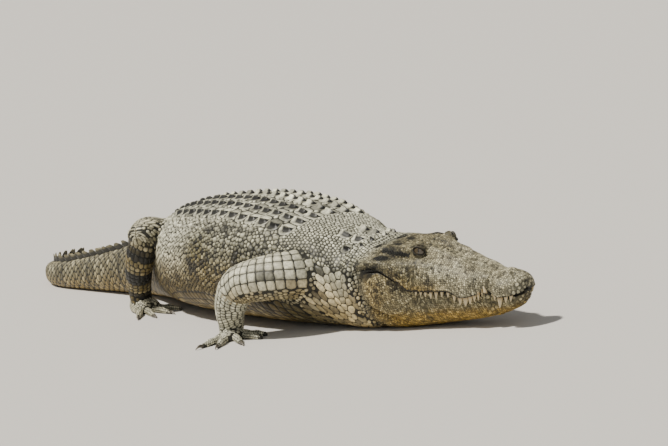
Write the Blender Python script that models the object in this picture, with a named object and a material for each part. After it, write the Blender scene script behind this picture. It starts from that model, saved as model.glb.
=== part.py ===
"""Saltwater crocodile, life size, resting on its belly with the tail curled away to its left.

Frame: metres, +Z up, the floor at z = 0, the head towards +X and the left side towards +Y.
The whole body is one set of sections strung on a curved line along the floor, the spine line.
A station is a distance along that line: 0 under the middle of the trunk, growing forwards.
"""
import math

import bmesh
import bpy
import numpy as np
from mathutils import Matrix, Vector

GAP = 0.0003                 # space left between two pieces that touch
LEG_GAP = 0.0012             # space left round a leg where it meets the trunk or its foot
FLOOR_FLAT = 0.0030          # what lies this close to the floor is flat on it
SMALL = 0.0001               # merge distance

# Spine line: how far the body turns to its left, in degrees, and between which stations
NECK_TURN, NECK_FROM, NECK_TO = 14.0, 0.40, 0.78
RUMP_TURN, RUMP_FROM, RUMP_TO = 8.0, -0.60, -1.00
TAIL_TURN, TAIL_FROM, TAIL_TO = -90.0, -1.50, -2.45
SPINE_ENDS = (-2.66, 1.00)   # the line is laid a little past the tip of the tail and the neck
SPINE_STEP = 0.01

# Rows of keeled plates along the back, then whorls of upright blades along the tail
BACK_FRONT, ROW_PITCH, BACK_ROWS = 0.495, 0.066, 18
CREST_FRONT, CREST_PITCH = -0.72, 0.060
DOUBLE_WHORLS, SINGLE_WHORLS = 16, 15
WHORLS_IN_A_PIECE = 4

# Stations of the joints between the pieces of the body, each between two rows or whorls
HEAD_BACK = 0.77
NECK_BACK = 0.62
SHOULDER_BACK = BACK_FRONT - 2.5 * ROW_PITCH
MIDDLE_BACK = BACK_FRONT - 8.5 * ROW_PITCH
LOIN_BACK = BACK_FRONT - 13.5 * ROW_PITCH
HIP_BACK = CREST_FRONT + 0.5 * CREST_PITCH
TAIL_TIP = -2.60
TAIL_PIECES = 8
NECK_RINGS = 5
TRUNK = (
    # piece, front, back, rings
    ("trunk_shoulder", NECK_BACK, SHOULDER_BACK, 6), ("trunk_middle", SHOULDER_BACK, MIDDLE_BACK, 6),
    ("trunk_loin", MIDDLE_BACK, LOIN_BACK, 5), ("trunk_hip", LOIN_BACK, HIP_BACK, 5),
)

# Body sections: station, half width, height of the widest line, height of the back
BODY = (
    (-2.60, 0.006, 0.010, 0.022),
    (-2.30, 0.020, 0.026, 0.060),
    (-1.95, 0.040, 0.038, 0.084),
    (-1.60, 0.063, 0.054, 0.116),
    (-1.20, 0.094, 0.082, 0.172),
    (-0.90, 0.126, 0.112, 0.230),
    (-0.68, 0.166, 0.140, 0.290),
    (-0.50, 0.210, 0.165, 0.355),
    (-0.25, 0.275, 0.185, 0.400),
    (0.05, 0.292, 0.195, 0.410),
    (0.30, 0.275, 0.190, 0.394),
    (0.50, 0.240, 0.175, 0.360),
    (0.65, 0.200, 0.165, 0.318),
    (0.77, 0.178, 0.160, 0.288),
)
BELLY_SQUARE = 0.84          # below 1 the corners are squarer than an ellipse's
BACK_SQUARE = 0.80
TAIL_SQUARE = 0.72
TAIL_SECTION, TRUNK_SECTION = -1.2, -0.5     # stations between which one becomes the other
SWELL_HEIGHT = 0.15          # a cutter swells away from this height over the floor
RING_POINTS, TAIL_POINTS = 20, 14
TAIL_RINGS = 4

# Head sections in the head's own frame: forward of the back of the skull roof, and up from the datum
HEAD_DATUM = 0.165           # height of the datum line over the floor
HEAD_ROLL = 5.0              # degrees, right side down
HEAD_STATION = 0.86          # station of the back of the skull roof
UPPER_WIDTH = (
    (-0.09, 0.178), (0.0, 0.172), (0.08, 0.158), (0.16, 0.140), (0.25, 0.118), (0.32, 0.101),
    (0.355, 0.097), (0.39, 0.083), (0.422, 0.064), (0.448, 0.070), (0.480, 0.077), (0.508, 0.067),
    (0.526, 0.048), (0.537, 0.020),
)
UPPER_TOP = (
    (-0.09, 0.125), (-0.02, 0.114), (0.05, 0.107), (0.13, 0.100), (0.20, 0.088), (0.27, 0.064),
    (0.36, 0.034), (0.43, 0.014), (0.49, -0.002), (0.518, -0.012), (0.537, -0.032),
)
LIP = (
    (-0.09, -0.005), (0.0, 0.046), (0.06, 0.052), (0.11, 0.022), (0.16, -0.018), (0.22, -0.028),
    (0.29, -0.032), (0.345, -0.054), (0.39, -0.050), (0.422, -0.036), (0.45, -0.046),
    (0.485, -0.057), (0.515, -0.056), (0.537, -0.048),
)
JAW_BOTTOM = (
    (-0.09, -0.165), (0.06, -0.165), (0.16, -0.158), (0.28, -0.150), (0.40, -0.134),
    (0.48, -0.114), (0.515, -0.096), (0.530, -0.080),
)
JAW_INSET = 0.020            # the lower jaw is narrower than the upper along the tooth row
JAW_TIP = 0.530
NOTCH_AT, NOTCH_LENGTH = 0.423, 0.016
NOTCH_SWELL = 1.75           # the lower jaw stands out at the notch, by this share of its inset
HEAD_RINGS = (
    -0.09, -0.04, 0.0, 0.04, 0.08, 0.115, 0.145, 0.17, 0.20, 0.235, 0.275, 0.315, 0.345, 0.37,
    0.40, 0.423, 0.445, 0.468, 0.492, 0.512, 0.526, 0.537,
)
MOUTH_EDGE = 1e-6            # angle, in radians, at which the lower jaw's section starts
HEAD_HALF_POINTS = 8         # points round one side of the upper or lower half of the head

# Bumps on the head: forward, out from the middle, length, width, height
BROW = (0.165, 0.060, 0.050, 0.026, 0.019)
SNOUT_RIDGE = (0.270, 0.040, 0.090, 0.014, 0.007)
NOSTRIL_MOUND = (0.486, 0.0, 0.028, 0.034, 0.020)
BROW_VALLEY = (0.170, 0.0, 0.060, 0.026, -0.010)
CHEEK_HOLLOW = (0.060, 0.125, 0.060, 0.030, -0.010)

EYE_AT = (0.178, 0.069, 0.088)
EYE_RADIUS = 0.0225

# Limbs: points along the middle of each limb, right side, with half thickness across and along
UPPER_ARM = (
    ((0.600, -0.110, 0.190), 0.085, 0.105),
    ((0.592, -0.200, 0.198), 0.080, 0.100),
    ((0.550, -0.272, 0.198), 0.073, 0.088),
    ((0.488, -0.322, 0.188), 0.066, 0.074),
    ((0.448, -0.342, 0.170), 0.058, 0.062),
)
FOREARM = (
    ((0.462, -0.338, 0.172), 0.056, 0.058),
    ((0.434, -0.348, 0.135), 0.056, 0.060),
    ((0.410, -0.350, 0.095), 0.049, 0.053),
    ((0.394, -0.345, 0.055), 0.044, 0.042),
    ((0.386, -0.345, 0.030), 0.045, 0.030),
)
THIGH = (
    ((-0.545, -0.080, 0.195), 0.085, 0.102),
    ((-0.505, -0.160, 0.255), 0.080, 0.096),
    ((-0.460, -0.222, 0.290), 0.066, 0.076),
    ((-0.440, -0.252, 0.290), 0.060, 0.064),
)
SHANK = (
    ((-0.446, -0.252, 0.268), 0.052, 0.056),
    ((-0.466, -0.266, 0.222), 0.054, 0.058),
    ((-0.508, -0.266, 0.166), 0.050, 0.054),
    ((-0.552, -0.254, 0.100), 0.043, 0.043),
    ((-0.570, -0.252, 0.045), 0.044, 0.036),
)
ROUND_END = ((0.45, 0.86), (0.72, 0.50))     # rings that close a knee: how far on, how wide
LIMB_RINGS, LIMB_POINTS = 7, 10
LIMB_FLOOR = 0.004           # the shank stays this far over the floor
LEFT_ARM_BACK, LEFT_LEG_BACK = -0.10, -0.03  # the left legs stand further back than the right
LEFT_ARM_LOW = 0.80          # the left elbow is held lower, nearer the floor
ANKLE_HEIGHT = 0.07          # below this the height of a limb is not lowered

# Feet: heel (forward, out), heading in degrees, length, half width, half height
HAND = ((0.352, -0.332), -22.0, 0.100, 0.046, 0.030)
FOOT = ((-0.640, -0.240), -4.0, 0.150, 0.050, 0.038)
PAD_RINGS = (0.0, 0.06, 0.25, 0.5, 0.75, 0.94, 1.0)
PAD_SPREAD, PAD_FALL = 0.25, 0.35            # a foot broadens and thins towards its toes
# Toes from the inner one: degrees off the foot's heading, length
FINGERS = ((48.0, 0.078), (20.0, 0.100), (-6.0, 0.108), (-34.0, 0.094), (-60.0, 0.066))
TOES = ((24.0, 0.110), (8.0, 0.138), (-8.0, 0.145), (-26.0, 0.120))
TOE_ROOT, TOE_TIP = 0.0155, 0.0085           # radii
TOE_RINGS, TOE_POINTS = (0.0, 0.35, 0.65, 0.92, 1.0), 6
TOE_START, TOE_SPREAD, TOE_FAN = 0.62, 0.80, 1.3     # where the toes leave the pad
TOE_INSIDE = 0.20            # share of the pad's length a toe runs inside it
JOINT_SWELL = 0.10           # a toe is thicker by this share at its joints
CLAWED = 3                   # claws on the three inner toes of each foot
CLAW_LENGTH, CLAW_ROOT, CLAW_TIP = 0.034, 0.0068, 0.0012
CLAW_ARCH, CLAW_DROP = 0.006, 0.0045
CLAW_RINGS, CLAW_POINTS = (0.0, 0.35, 0.7, 1.0), 6

# Keeled plates of the back, crest of the tail, teeth
KEEL_COLUMNS = (0.040, 0.112, 0.178)
KEEL_HEIGHT, KEEL_SINK = 0.014, 0.008
KEEL_LENGTH, KEEL_WIDTH = 0.046, 0.034
KEEL_RIDGE, KEEL_LEAN = 0.62, 0.004          # length of its ridge over its base, lean backwards
RIDGE_WIDTH = 0.30           # width of a ridge over the width of its base
OUTER_SMALLER = 0.12         # each column is smaller than the one inside it by this share
FEWER_COLUMNS_BEHIND = -0.30 # the outermost column stops before the hips
BROADEST = 0.305             # half width of the trunk where its plates are at full size
# Plates of the nape: station, out, size against a keel
NAPE_PLATES = ((0.735, 0.038, 1.5), (0.735, 0.098, 1.1), (0.675, 0.040, 1.4))
NAPE_LENGTH = 0.036
CREST_HEIGHT, CREST_LENGTH = 0.024, 0.72     # length as a share of the pitch
CREST_SPREAD, CREST_CLOSE = 0.062, 0.012     # half the space between the two rows at each end
CREST_RIDGE, CREST_LEAN = 0.42, 0.75         # the lean is a share of a blade's height
CREST_SPLAY = 0.22           # blades of the double rows lean outwards by this much
CREST_START = 0.35           # height of the first blades over that of the tallest
SINGLE_TALLER = 1.15
CREST_GROWN, CREST_FADING, CREST_FADED = 6.0, 22.0, 33.0     # whorls
CREST_TIP_SHARE = 0.45
CREST_WITHIN = 0.6           # the rows stay inside this share of the tail's half width
BLADE_THICK = 0.010
TOOTH_SINK = 0.010
TOOTH_SIDES = 6
UPPER_TEETH = (
    # first and last place along the head, how many, length, root radius
    (0.215, 0.312, 5, 0.014, 0.0052),
    (0.338, 0.362, 2, 0.024, 0.0078),
    (0.385, 0.396, 1, 0.014, 0.0055),
    (0.457, 0.457, 1, 0.027, 0.0072),
    (0.478, 0.512, 3, 0.014, 0.0052),
)
LOWER_TEETH = ((NOTCH_AT, NOTCH_AT, 1, 0.024, 0.0068),)
TOOTH_TIP = 0.22             # tip radius over root radius
TOOTH_EDGE = 0.0007          # the teeth stand this far inside the outline of their jaw
EYE_SEGMENTS, EYE_BANDS = 12, 8

COLOURS = {
    "hide": (0.150, 0.145, 0.105), "head": (0.165, 0.160, 0.125), "jaw": (0.300, 0.260, 0.180),
    "tail": (0.130, 0.140, 0.095), "limb": (0.170, 0.160, 0.120), "claw": (0.070, 0.062, 0.050),
    "eye": (0.120, 0.090, 0.030),
}

SPINE_LINE = {}
PARTS = bpy.data.collections.new("saltwater_crocodile")
CUTTERS = bpy.data.collections.new("cutters")


# ---------------------------------------------------------------- sections and frames

def smooth(start, end, value):
    """0 before start, 1 after end, a smooth step between."""
    t = min(max((value - start) / (end - start), 0.0), 1.0)
    return t * t * (3.0 - 2.0 * t)


def along(table, where, column=1):
    """Read a column of a table of sizes at any place, by a curve that never overshoots."""
    xs = [row[0] for row in table]
    ys = [row[column] for row in table]
    where = min(max(where, xs[0]), xs[-1])
    slopes = []
    for i in range(len(xs)):
        if i in (0, len(xs) - 1):
            j = min(i, len(xs) - 2)
            slopes.append((ys[j + 1] - ys[j]) / (xs[j + 1] - xs[j]))
            continue
        before = (ys[i] - ys[i - 1]) / (xs[i] - xs[i - 1])
        after = (ys[i + 1] - ys[i]) / (xs[i + 1] - xs[i])
        same = before * after > 0.0
        slopes.append(2.0 * before * after / (before + after) if same else 0.0)
    i = max(k for k in range(len(xs) - 1) if xs[k] <= where)
    step = xs[i + 1] - xs[i]
    t = (where - xs[i]) / step
    return (ys[i] * (1 + 2 * t) * (1 - t) ** 2 + slopes[i] * step * t * (1 - t) ** 2
            + ys[i + 1] * t * t * (3 - 2 * t) + slopes[i + 1] * step * t * t * (t - 1))


def heading(station):
    """Direction of the spine line at a station, in radians from +X."""
    turn = NECK_TURN * smooth(NECK_FROM, NECK_TO, station)
    turn += RUMP_TURN * smooth(-RUMP_FROM, -RUMP_TO, -station)
    turn += TAIL_TURN * smooth(-TAIL_FROM, -TAIL_TO, -station)
    return math.radians(turn)


def lay_spine():
    """Walk the spine line both ways from station 0 and note where each step falls."""
    for end in SPINE_ENDS:
        step = math.copysign(SPINE_STEP, end)
        x = y = 0.0
        for k in range(round(end / step) + 1):
            SPINE_LINE[round(k * step / SPINE_STEP)] = (x, y)
            middle = heading((k + 0.5) * step)
            x += step * math.cos(middle)
            y += step * math.sin(middle)


def spine(station):
    """Place on the floor under the spine line."""
    k = math.floor(station / SPINE_STEP)
    t = station / SPINE_STEP - k
    (x0, y0), (x1, y1) = SPINE_LINE[k], SPINE_LINE[k + 1]
    return Vector((x0 + (x1 - x0) * t, y0 + (y1 - y0) * t, 0.0))


def place(station, out, up):
    """A point at a station, out to the left of the spine line and up from the floor."""
    turn = heading(station)
    return spine(station) + Vector((-math.sin(turn) * out, math.cos(turn) * out, up))


def quarter(angle, power_out, power_up):
    """Unit section: out and up at an angle, from -90 degrees at the belly to 90 at the back."""
    out = abs(math.cos(angle)) ** power_out
    up = math.copysign(abs(math.sin(angle)) ** power_up, angle)
    return out, up


def body_section(station, angle):
    """Out and up of the body's surface at a station and an angle round the section."""
    half = along(BODY, station, 1)
    side = along(BODY, station, 2)
    back = along(BODY, station, 3)
    trunk = smooth(TAIL_SECTION, TRUNK_SECTION, station)
    square = TAIL_SQUARE + (BACK_SQUARE - TAIL_SQUARE) * trunk
    if angle < 0.0:
        out, up = quarter(angle, BELLY_SQUARE, BELLY_SQUARE)
        return half * out, side + side * up
    out, up = quarter(angle, square, square)
    return half * out, side + (back - side) * up


def skull_section(forward, angle):
    """Out and up of the head's surface from the datum, lower jaw below angle 0."""
    lip = along(LIP, forward)
    half = along(UPPER_WIDTH, forward)
    snout = smooth(0.10, 0.30, forward)
    if angle < 0.0:
        inset = JAW_INSET * smooth(0.04, 0.20, forward) * (1.0 - NOTCH_SWELL * notch(forward))
        out, up = quarter(angle, 0.62 + 0.10 * snout, 0.62 + 0.22 * snout)
        return max(half - inset, 0.012) * out, lip + (lip - along(JAW_BOTTOM, forward)) * up
    out, up = quarter(angle, 1.15 - 0.45 * snout, 0.66 + 0.14 * snout)
    out, up = half * out, lip + (along(UPPER_TOP, forward) - lip) * up
    weight = smooth(0.15, 0.75, math.sin(angle))
    for bump in (BROW, SNOUT_RIDGE, NOSTRIL_MOUND, BROW_VALLEY, CHEEK_HOLLOW):
        up += weight * rise(bump, forward, out)
    return out, up


def notch(forward):
    """1 at the notch behind the tip of the snout, where a lower tooth shows, 0 away from it."""
    return math.exp(-((forward - NOTCH_AT) / NOTCH_LENGTH) ** 2)


def rise(bump, forward, out):
    """Height of a rounded bump at a place on the head."""
    at, aside, length, width, height = bump
    return height * math.exp(-((forward - at) / length) ** 2 - ((out - aside) / width) ** 2)


def head_frame():
    """Matrix from the head's own frame (forward, left, up from the datum) to the model's."""
    turn = Matrix.Rotation(heading(HEAD_STATION), 4, "Z")
    roll = Matrix.Rotation(math.radians(HEAD_ROLL), 4, "X")
    base = spine(HEAD_STATION) + Vector((0.0, 0.0, HEAD_DATUM))
    return Matrix.Translation(base) @ turn @ roll


def body_ring(station, count, swell=0.0):
    """One closed ring of points round the body; the neck takes on the shape of the head's back."""
    blend = smooth(NECK_BACK, HEAD_BACK, station)
    roll = math.radians(HEAD_ROLL) * blend
    ring = []
    for k in range(count):
        angle = 2.0 * math.pi * (k + 0.5) / count - math.pi / 2.0
        side = 1.0 if angle <= math.pi / 2.0 else -1.0
        folded = angle if side > 0 else math.pi - angle
        out, up = body_section(station, folded)
        if blend > 0.0:
            head_out, head_up = skull_section(HEAD_BACK - HEAD_STATION, folded)
            out += (head_out - out) * blend
            up += (head_up + HEAD_DATUM - up) * blend
        across, height = side * out, up - HEAD_DATUM
        rolled = across * math.cos(roll) - height * math.sin(roll)
        height = across * math.sin(roll) + height * math.cos(roll) + HEAD_DATUM
        reach = math.hypot(rolled, height - SWELL_HEIGHT)
        rolled += swell * rolled / reach
        height += swell * (height - SWELL_HEIGHT) / reach
        ring.append(place(station, rolled, max(height - FLOOR_FLAT, 0.0) - swell))
    return ring


# ---------------------------------------------------------------- building blocks

def clear_scene():
    for thing in list(bpy.data.objects):
        bpy.data.objects.remove(thing, do_unlink=True)
    for group in (PARTS, CUTTERS):
        bpy.context.scene.collection.children.link(group)


def material(name):
    """A plain finish of the named colour, made once."""
    found = bpy.data.materials.get(name)
    if found:
        return found
    made = bpy.data.materials.new(name)
    made.use_nodes = True
    shader = made.node_tree.nodes["Principled BSDF"]
    shader.inputs["Base Color"].default_value = (*COLOURS[name], 1.0)
    shader.inputs["Roughness"].default_value = 0.30 if name == "eye" else 0.62
    made.diffuse_color = (*COLOURS[name], 1.0)
    return made


def finish(mesh_data, name, finish_name, group=None):
    """Make a closed mesh into an object of its own, faces outwards."""
    bmesh.ops.remove_doubles(mesh_data, verts=mesh_data.verts, dist=SMALL)
    bmesh.ops.recalc_face_normals(mesh_data, faces=mesh_data.faces)
    bmesh.ops.triangulate(mesh_data, faces=mesh_data.faces, quad_method="FIXED")
    mesh = bpy.data.meshes.new(name)
    mesh_data.to_mesh(mesh)
    mesh_data.free()
    made = bpy.data.objects.new(name, mesh)
    mesh.materials.append(material(finish_name))
    (group or PARTS).objects.link(made)
    if group is CUTTERS:
        made.hide_render = True
        made.display_type = "WIRE"
    return made


def add_loft(mesh_data, rings):
    """Skin a row of rings of equal count and close both ends."""
    rows = [[mesh_data.verts.new(point) for point in ring] for ring in rings]
    count = len(rows[0])
    for near, far in zip(rows, rows[1:]):
        for k in range(count):
            mesh_data.faces.new((near[k], near[(k + 1) % count], far[(k + 1) % count], far[k]))
    mesh_data.faces.new(rows[0][::-1])
    mesh_data.faces.new(rows[-1])


def loft(name, rings, finish_name, group=None):
    mesh_data = bmesh.new()
    add_loft(mesh_data, rings)
    return finish(mesh_data, name, finish_name, group)


def apply_boolean(piece, other, operation):
    """Join or cut a piece by another object, which is used up when it is joined."""
    change = piece.modifiers.new("shape", "BOOLEAN")
    change.operation = operation
    change.object = other
    change.solver = "MANIFOLD"
    graph = bpy.context.evaluated_depsgraph_get()
    result = bpy.data.meshes.new_from_object(piece.evaluated_get(graph))
    piece.modifiers.clear()
    piece.data = result
    if operation == "UNION":
        bpy.data.objects.remove(other, do_unlink=True)


def add_wedge(mesh_data, base, along_axis, up_axis, size, ridge, lean):
    """A keel or blade: a box narrowed to a ridge at its top, leaning back along the body."""
    length, width, height = size
    across_axis = up_axis.cross(along_axis).normalized()
    for vert in bmesh.ops.create_cube(mesh_data, size=1.0)["verts"]:
        top = vert.co.z > 0.0
        reach = length * (ridge if top else 1.0) * vert.co.x - (lean if top else 0.0)
        thick = width * (RIDGE_WIDTH if top else 1.0) * vert.co.y
        rise_by = height if top else -KEEL_SINK
        vert.co = base + along_axis * reach + across_axis * thick + up_axis * rise_by


# ---------------------------------------------------------------- body, neck and tail

def stations(front, back, count):
    return [front + (back - front) * k / (count - 1) for k in range(count)]


def make_body(name, front, back, count, points, finish_name):
    rows = stations(front - GAP / 2.0, back + GAP / 2.0, count)
    return loft(name, [body_ring(s, points) for s in rows], finish_name)


def on_back(piece, station, out):
    """Point, forward direction and outward direction on a piece's upper surface, out to one side."""
    over = place(station, out, 0.0)
    _, point, normal, _ = piece.ray_cast(over + Vector((0.0, 0.0, 1.0)), Vector((0.0, 0.0, -1.0)))
    turn = heading(station)
    forward = Vector((math.cos(turn), math.sin(turn), 0.0))
    forward = (forward - normal * forward.dot(normal)).normalized()
    return point, forward, normal


def add_keels(piece, front, back):
    """Keeled plates in straight rows along the back, joined to the hide under them."""
    mesh_data = bmesh.new()
    for row in range(BACK_ROWS):
        station = BACK_FRONT - ROW_PITCH * row
        if not back + KEEL_LENGTH / 2.0 < station < front - KEEL_LENGTH / 2.0:
            continue
        narrow = along(BODY, station, 1) / BROADEST
        columns = KEEL_COLUMNS if station > FEWER_COLUMNS_BEHIND else KEEL_COLUMNS[:2]
        for column, out in enumerate(columns):
            share = 1.0 - OUTER_SMALLER * column
            size = (KEEL_LENGTH * share, KEEL_WIDTH * share * narrow, KEEL_HEIGHT * share)
            for side in (1.0, -1.0):
                point, forward, normal = on_back(piece, station, side * out * narrow)
                add_wedge(mesh_data, point, forward, normal, size, KEEL_RIDGE, KEEL_LEAN)
    apply_boolean(piece, finish(mesh_data, piece.name + "_keels", "hide"), "UNION")


def add_nape_plates(piece):
    """The cluster of big plates behind the head."""
    mesh_data = bmesh.new()
    for station, out, share in NAPE_PLATES:
        size = (NAPE_LENGTH * share, KEEL_WIDTH * share, KEEL_HEIGHT * share)
        for side in (1.0, -1.0):
            point, forward, normal = on_back(piece, station, side * out)
            add_wedge(mesh_data, point, forward, normal, size, KEEL_RIDGE, KEEL_LEAN)
    apply_boolean(piece, finish(mesh_data, piece.name + "_plates", "hide"), "UNION")


def add_crest(piece, front, back):
    """Upright blades on a length of tail, in two rows at first and one row towards the tip."""
    mesh_data = bmesh.new()
    for whorl in range(DOUBLE_WHORLS + SINGLE_WHORLS):
        station = CREST_FRONT - CREST_PITCH * whorl
        if not back < station < front:
            continue
        double = whorl < DOUBLE_WHORLS
        closing = 1.0 - whorl / DOUBLE_WHORLS
        spread = min(CREST_SPREAD * closing + CREST_CLOSE, CREST_WITHIN * along(BODY, station, 1))
        fade = 1.0 - (1.0 - CREST_TIP_SHARE) * smooth(CREST_FADING, CREST_FADED, whorl)
        grow = smooth(-1.0, CREST_GROWN, whorl) * fade
        height = CREST_HEIGHT * (CREST_START + (1.0 - CREST_START) * grow)
        height *= 1.0 if double else SINGLE_TALLER
        thick = BLADE_THICK * (1.0 - CREST_TIP_SHARE * whorl / CREST_FADED)
        for side in ((1.0, -1.0) if double else (0.0,)):
            point, forward, _ = on_back(piece, station, side * spread)
            outwards = place(station, side, 0.0) - place(station, 0.0, 0.0)
            upright = (Vector((0.0, 0.0, 1.0)) + outwards * CREST_SPLAY).normalized()
            forward = (forward - upright * forward.dot(upright)).normalized()
            size = (CREST_LENGTH * CREST_PITCH, thick, height)
            add_wedge(mesh_data, point, forward, upright, size, CREST_RIDGE, CREST_LEAN * height)
    apply_boolean(piece, finish(mesh_data, piece.name + "_crest", "tail"), "UNION")


# ---------------------------------------------------------------- head

def head_rings(upper, frame):
    """Half sections of the head, over the mouth line or under it, closed flat along that line."""
    rings = []
    for forward in HEAD_RINGS:
        if not upper and forward > JAW_TIP:
            continue
        start = forward + (GAP / 2.0 if forward == HEAD_RINGS[0] else 0.0)
        ring = []
        lift = GAP / 2.0 if upper else -GAP / 2.0
        for side in (1.0, -1.0):
            half = []
            for k in range(HEAD_HALF_POINTS):
                angle = k / (HEAD_HALF_POINTS - 0.5) * math.pi / 2.0
                out, up = skull_section(forward, angle if upper else -max(angle, MOUTH_EDGE))
                half.append(frame @ Vector((start, side * out, up + lift)))
            ring += half if side > 0 else half[::-1]
        rings.append(ring)
    if not upper:
        rings = [[Vector((p.x, p.y, max(p.z, 0.0))) for p in ring] for ring in rings]
    return rings


def add_teeth(piece, frame, rows, upper):
    """Cones along the jaw's edge, both sides, joined to it."""
    mesh_data = bmesh.new()
    down = -1.0 if upper else 1.0
    turn = Matrix.Rotation(math.pi if upper else 0.0, 4, "X")
    for first, last, count, length, radius in rows:
        for k in range(count):
            forward = first + (last - first) * (k / (count - 1) if count > 1 else 0.5)
            out = skull_section(forward, 0.0 if upper else -MOUTH_EDGE)[0] - radius - TOOTH_EDGE
            height = along(LIP, forward) + down * (length - TOOTH_SINK) / 2.0
            for side in (1.0, -1.0):
                middle = Matrix.Translation(Vector((forward, side * out, height)))
                bmesh.ops.create_cone(mesh_data, cap_ends=True, segments=TOOTH_SIDES,
                                      radius1=radius, radius2=TOOTH_TIP * radius,
                                      depth=length + TOOTH_SINK, matrix=frame @ middle @ turn)
    apply_boolean(piece, finish(mesh_data, piece.name + "_teeth", "jaw"), "UNION")


def make_head():
    frame = head_frame()
    head = loft("head", head_rings(True, frame), "head")
    jaw = loft("jaw", head_rings(False, frame), "jaw")
    add_teeth(head, frame, UPPER_TEETH, True)
    add_teeth(jaw, frame, LOWER_TEETH, False)
    for side, name in ((1.0, "left"), (-1.0, "right")):
        centre = frame @ Vector((EYE_AT[0], side * EYE_AT[1], EYE_AT[2]))
        for radius, label, group in ((EYE_RADIUS, "eye_" + name, None),
                                     (EYE_RADIUS + GAP, "socket_" + name, CUTTERS)):
            mesh_data = bmesh.new()
            bmesh.ops.create_uvsphere(mesh_data, u_segments=EYE_SEGMENTS,
                                      v_segments=EYE_BANDS, radius=radius,
                                      matrix=Matrix.Translation(centre))
            ball = finish(mesh_data, label, "eye", group)
        apply_boolean(head, ball, "DIFFERENCE")
    return head, jaw


# ---------------------------------------------------------------- limbs

def limb_path(rows, side, shift, low):
    """Centre and half sizes at any share of a limb's length, by a curve through its points."""
    points = []
    for (x, y, z), _, _ in rows:
        points.append(Vector((x + shift, -side * y, z * (low if z > ANKLE_HEIGHT else 1.0))))
    sizes = [(across, deep) for _, across, deep in rows]

    def read(t):
        place_in = min(max(t, 0.0), 1.0) * (len(points) - 1)
        i = min(int(place_in), len(points) - 2)
        f = place_in - i
        a, b, c, d = (points[min(max(i + k, 0), len(points) - 1)] for k in (-1, 0, 1, 2))
        bend = (2 * a - 5 * b + 4 * c - d) * f * f + (3 * b - a - 3 * c + d) * f ** 3
        centre = 0.5 * (2 * b + (c - a) * f + bend)
        across = sizes[i][0] + (sizes[i + 1][0] - sizes[i][0]) * f
        deep = sizes[i][1] + (sizes[i + 1][1] - sizes[i][1]) * f
        return centre, across, deep

    return read


def limb_ring(read, t, ahead=0.0, share=1.0):
    """A round section square to the limb at t, moved on along it and narrowed for a closed end."""
    centre, across, deep = read(t)
    axis = (read(min(t + 0.02, 1.0))[0] - read(max(t - 0.02, 0.0))[0]).normalized()
    out = axis.cross(Vector((1.0, 0.0, 0.0))).normalized()
    fore = out.cross(axis).normalized()
    centre = centre + axis * ahead * deep
    ring = []
    for k in range(LIMB_POINTS):
        angle = 2.0 * math.pi * k / LIMB_POINTS
        point = centre + (out * across * math.cos(angle) + fore * deep * math.sin(angle)) * share
        ring.append(Vector((point.x, point.y, max(point.z, LIMB_FLOOR))))
    return ring


def limb_rings(rows, side, shift, low, rounded):
    read = limb_path(rows, side, shift, low)
    rings = [limb_ring(read, k / (LIMB_RINGS - 1)) for k in range(LIMB_RINGS)]
    if rounded:
        rings += [limb_ring(read, 1.0, ahead, share) for ahead, share in ROUND_END]
    return rings


def round_points(count):
    return [(math.cos(2.0 * math.pi * k / count), math.sin(2.0 * math.pi * k / count)) for k in range(count)]


def paw(name, side, shift, plan, toes):
    """A flat foot on the floor with its toes joined on, heel first."""
    (heel_x, heel_y), turn, length, half_width, half_height = plan
    frame = (Matrix.Translation(Vector((heel_x + shift, -side * heel_y, 0.0)))
             @ Matrix.Rotation(math.radians(-side * turn), 4, "Z"))
    rings = []
    for f in PAD_RINGS:
        bulge = math.sqrt(max(1.0 - (2.0 * f - 1.0) ** 4, 0.05))
        wide = half_width * bulge * (0.85 + PAD_SPREAD * f)
        tall = 2.0 * half_height * (0.75 + 0.25 * bulge) * (1.0 - PAD_FALL * f)
        rings.append([frame @ Vector((length * f, wide * out, max(tall * (0.35 + 0.65 * up), 0.0)))
                      for out, up in round_points(LIMB_POINTS)])
    pad = loft(name, rings, "limb")
    for spread, reach in toes:
        add_toe(pad, frame, toe_line(side, length, half_width, spread, reach))
    return pad, frame


def toe_line(side, length, half_width, spread, reach):
    """Root, direction and tip of a toe in the foot's own frame."""
    turn = math.radians(-side * spread)
    fan = math.radians(max(min(spread * TOE_FAN, 90.0), -90.0))
    root = Vector((length * TOE_START, side * half_width * TOE_SPREAD * math.sin(fan), 0.0))
    direction = Vector((math.cos(turn), -math.sin(turn), 0.0))
    return root, direction, root + direction * (reach + length * TOE_INSIDE)


def add_toe(pad, frame, line):
    """A jointed toe lying flat on the floor, joined to its foot."""
    root, direction, tip = line
    across = Vector((-direction.y, direction.x, 0.0))
    rings = []
    for f in TOE_RINGS:
        radius = TOE_ROOT + (TOE_TIP - TOE_ROOT) * f
        radius *= 1.0 + JOINT_SWELL * math.sin(f * 4.0 * math.pi)
        radius *= 0.55 if f == 1.0 else 1.0
        centre = root.lerp(tip, f)
        rings.append([frame @ (centre + across * radius * out + Vector((0.0, 0.0, radius * (1.0 + up))))
                      for out, up in round_points(TOE_POINTS)])
    apply_boolean(pad, loft("toe", rings, "limb"), "UNION")


def make_claw(name, frame, line):
    """A curved horn set just ahead of the toe's end."""
    _, direction, tip = line
    across = Vector((-direction.y, direction.x, 0.0))
    rings = []
    for f in CLAW_RINGS:
        radius = CLAW_ROOT + (CLAW_TIP - CLAW_ROOT) * f
        centre = tip + direction * (GAP + CLAW_LENGTH * f)
        height = CLAW_ROOT + CLAW_ARCH * math.sin(f * math.pi) * (1.0 - 0.3 * f) - CLAW_DROP * f
        rings.append([frame @ (centre + across * radius * out
                               + Vector((0.0, 0.0, max(height + radius * up, 0.0))))
                      for out, up in round_points(CLAW_POINTS)])
    return loft(name, rings, "claw")


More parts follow.
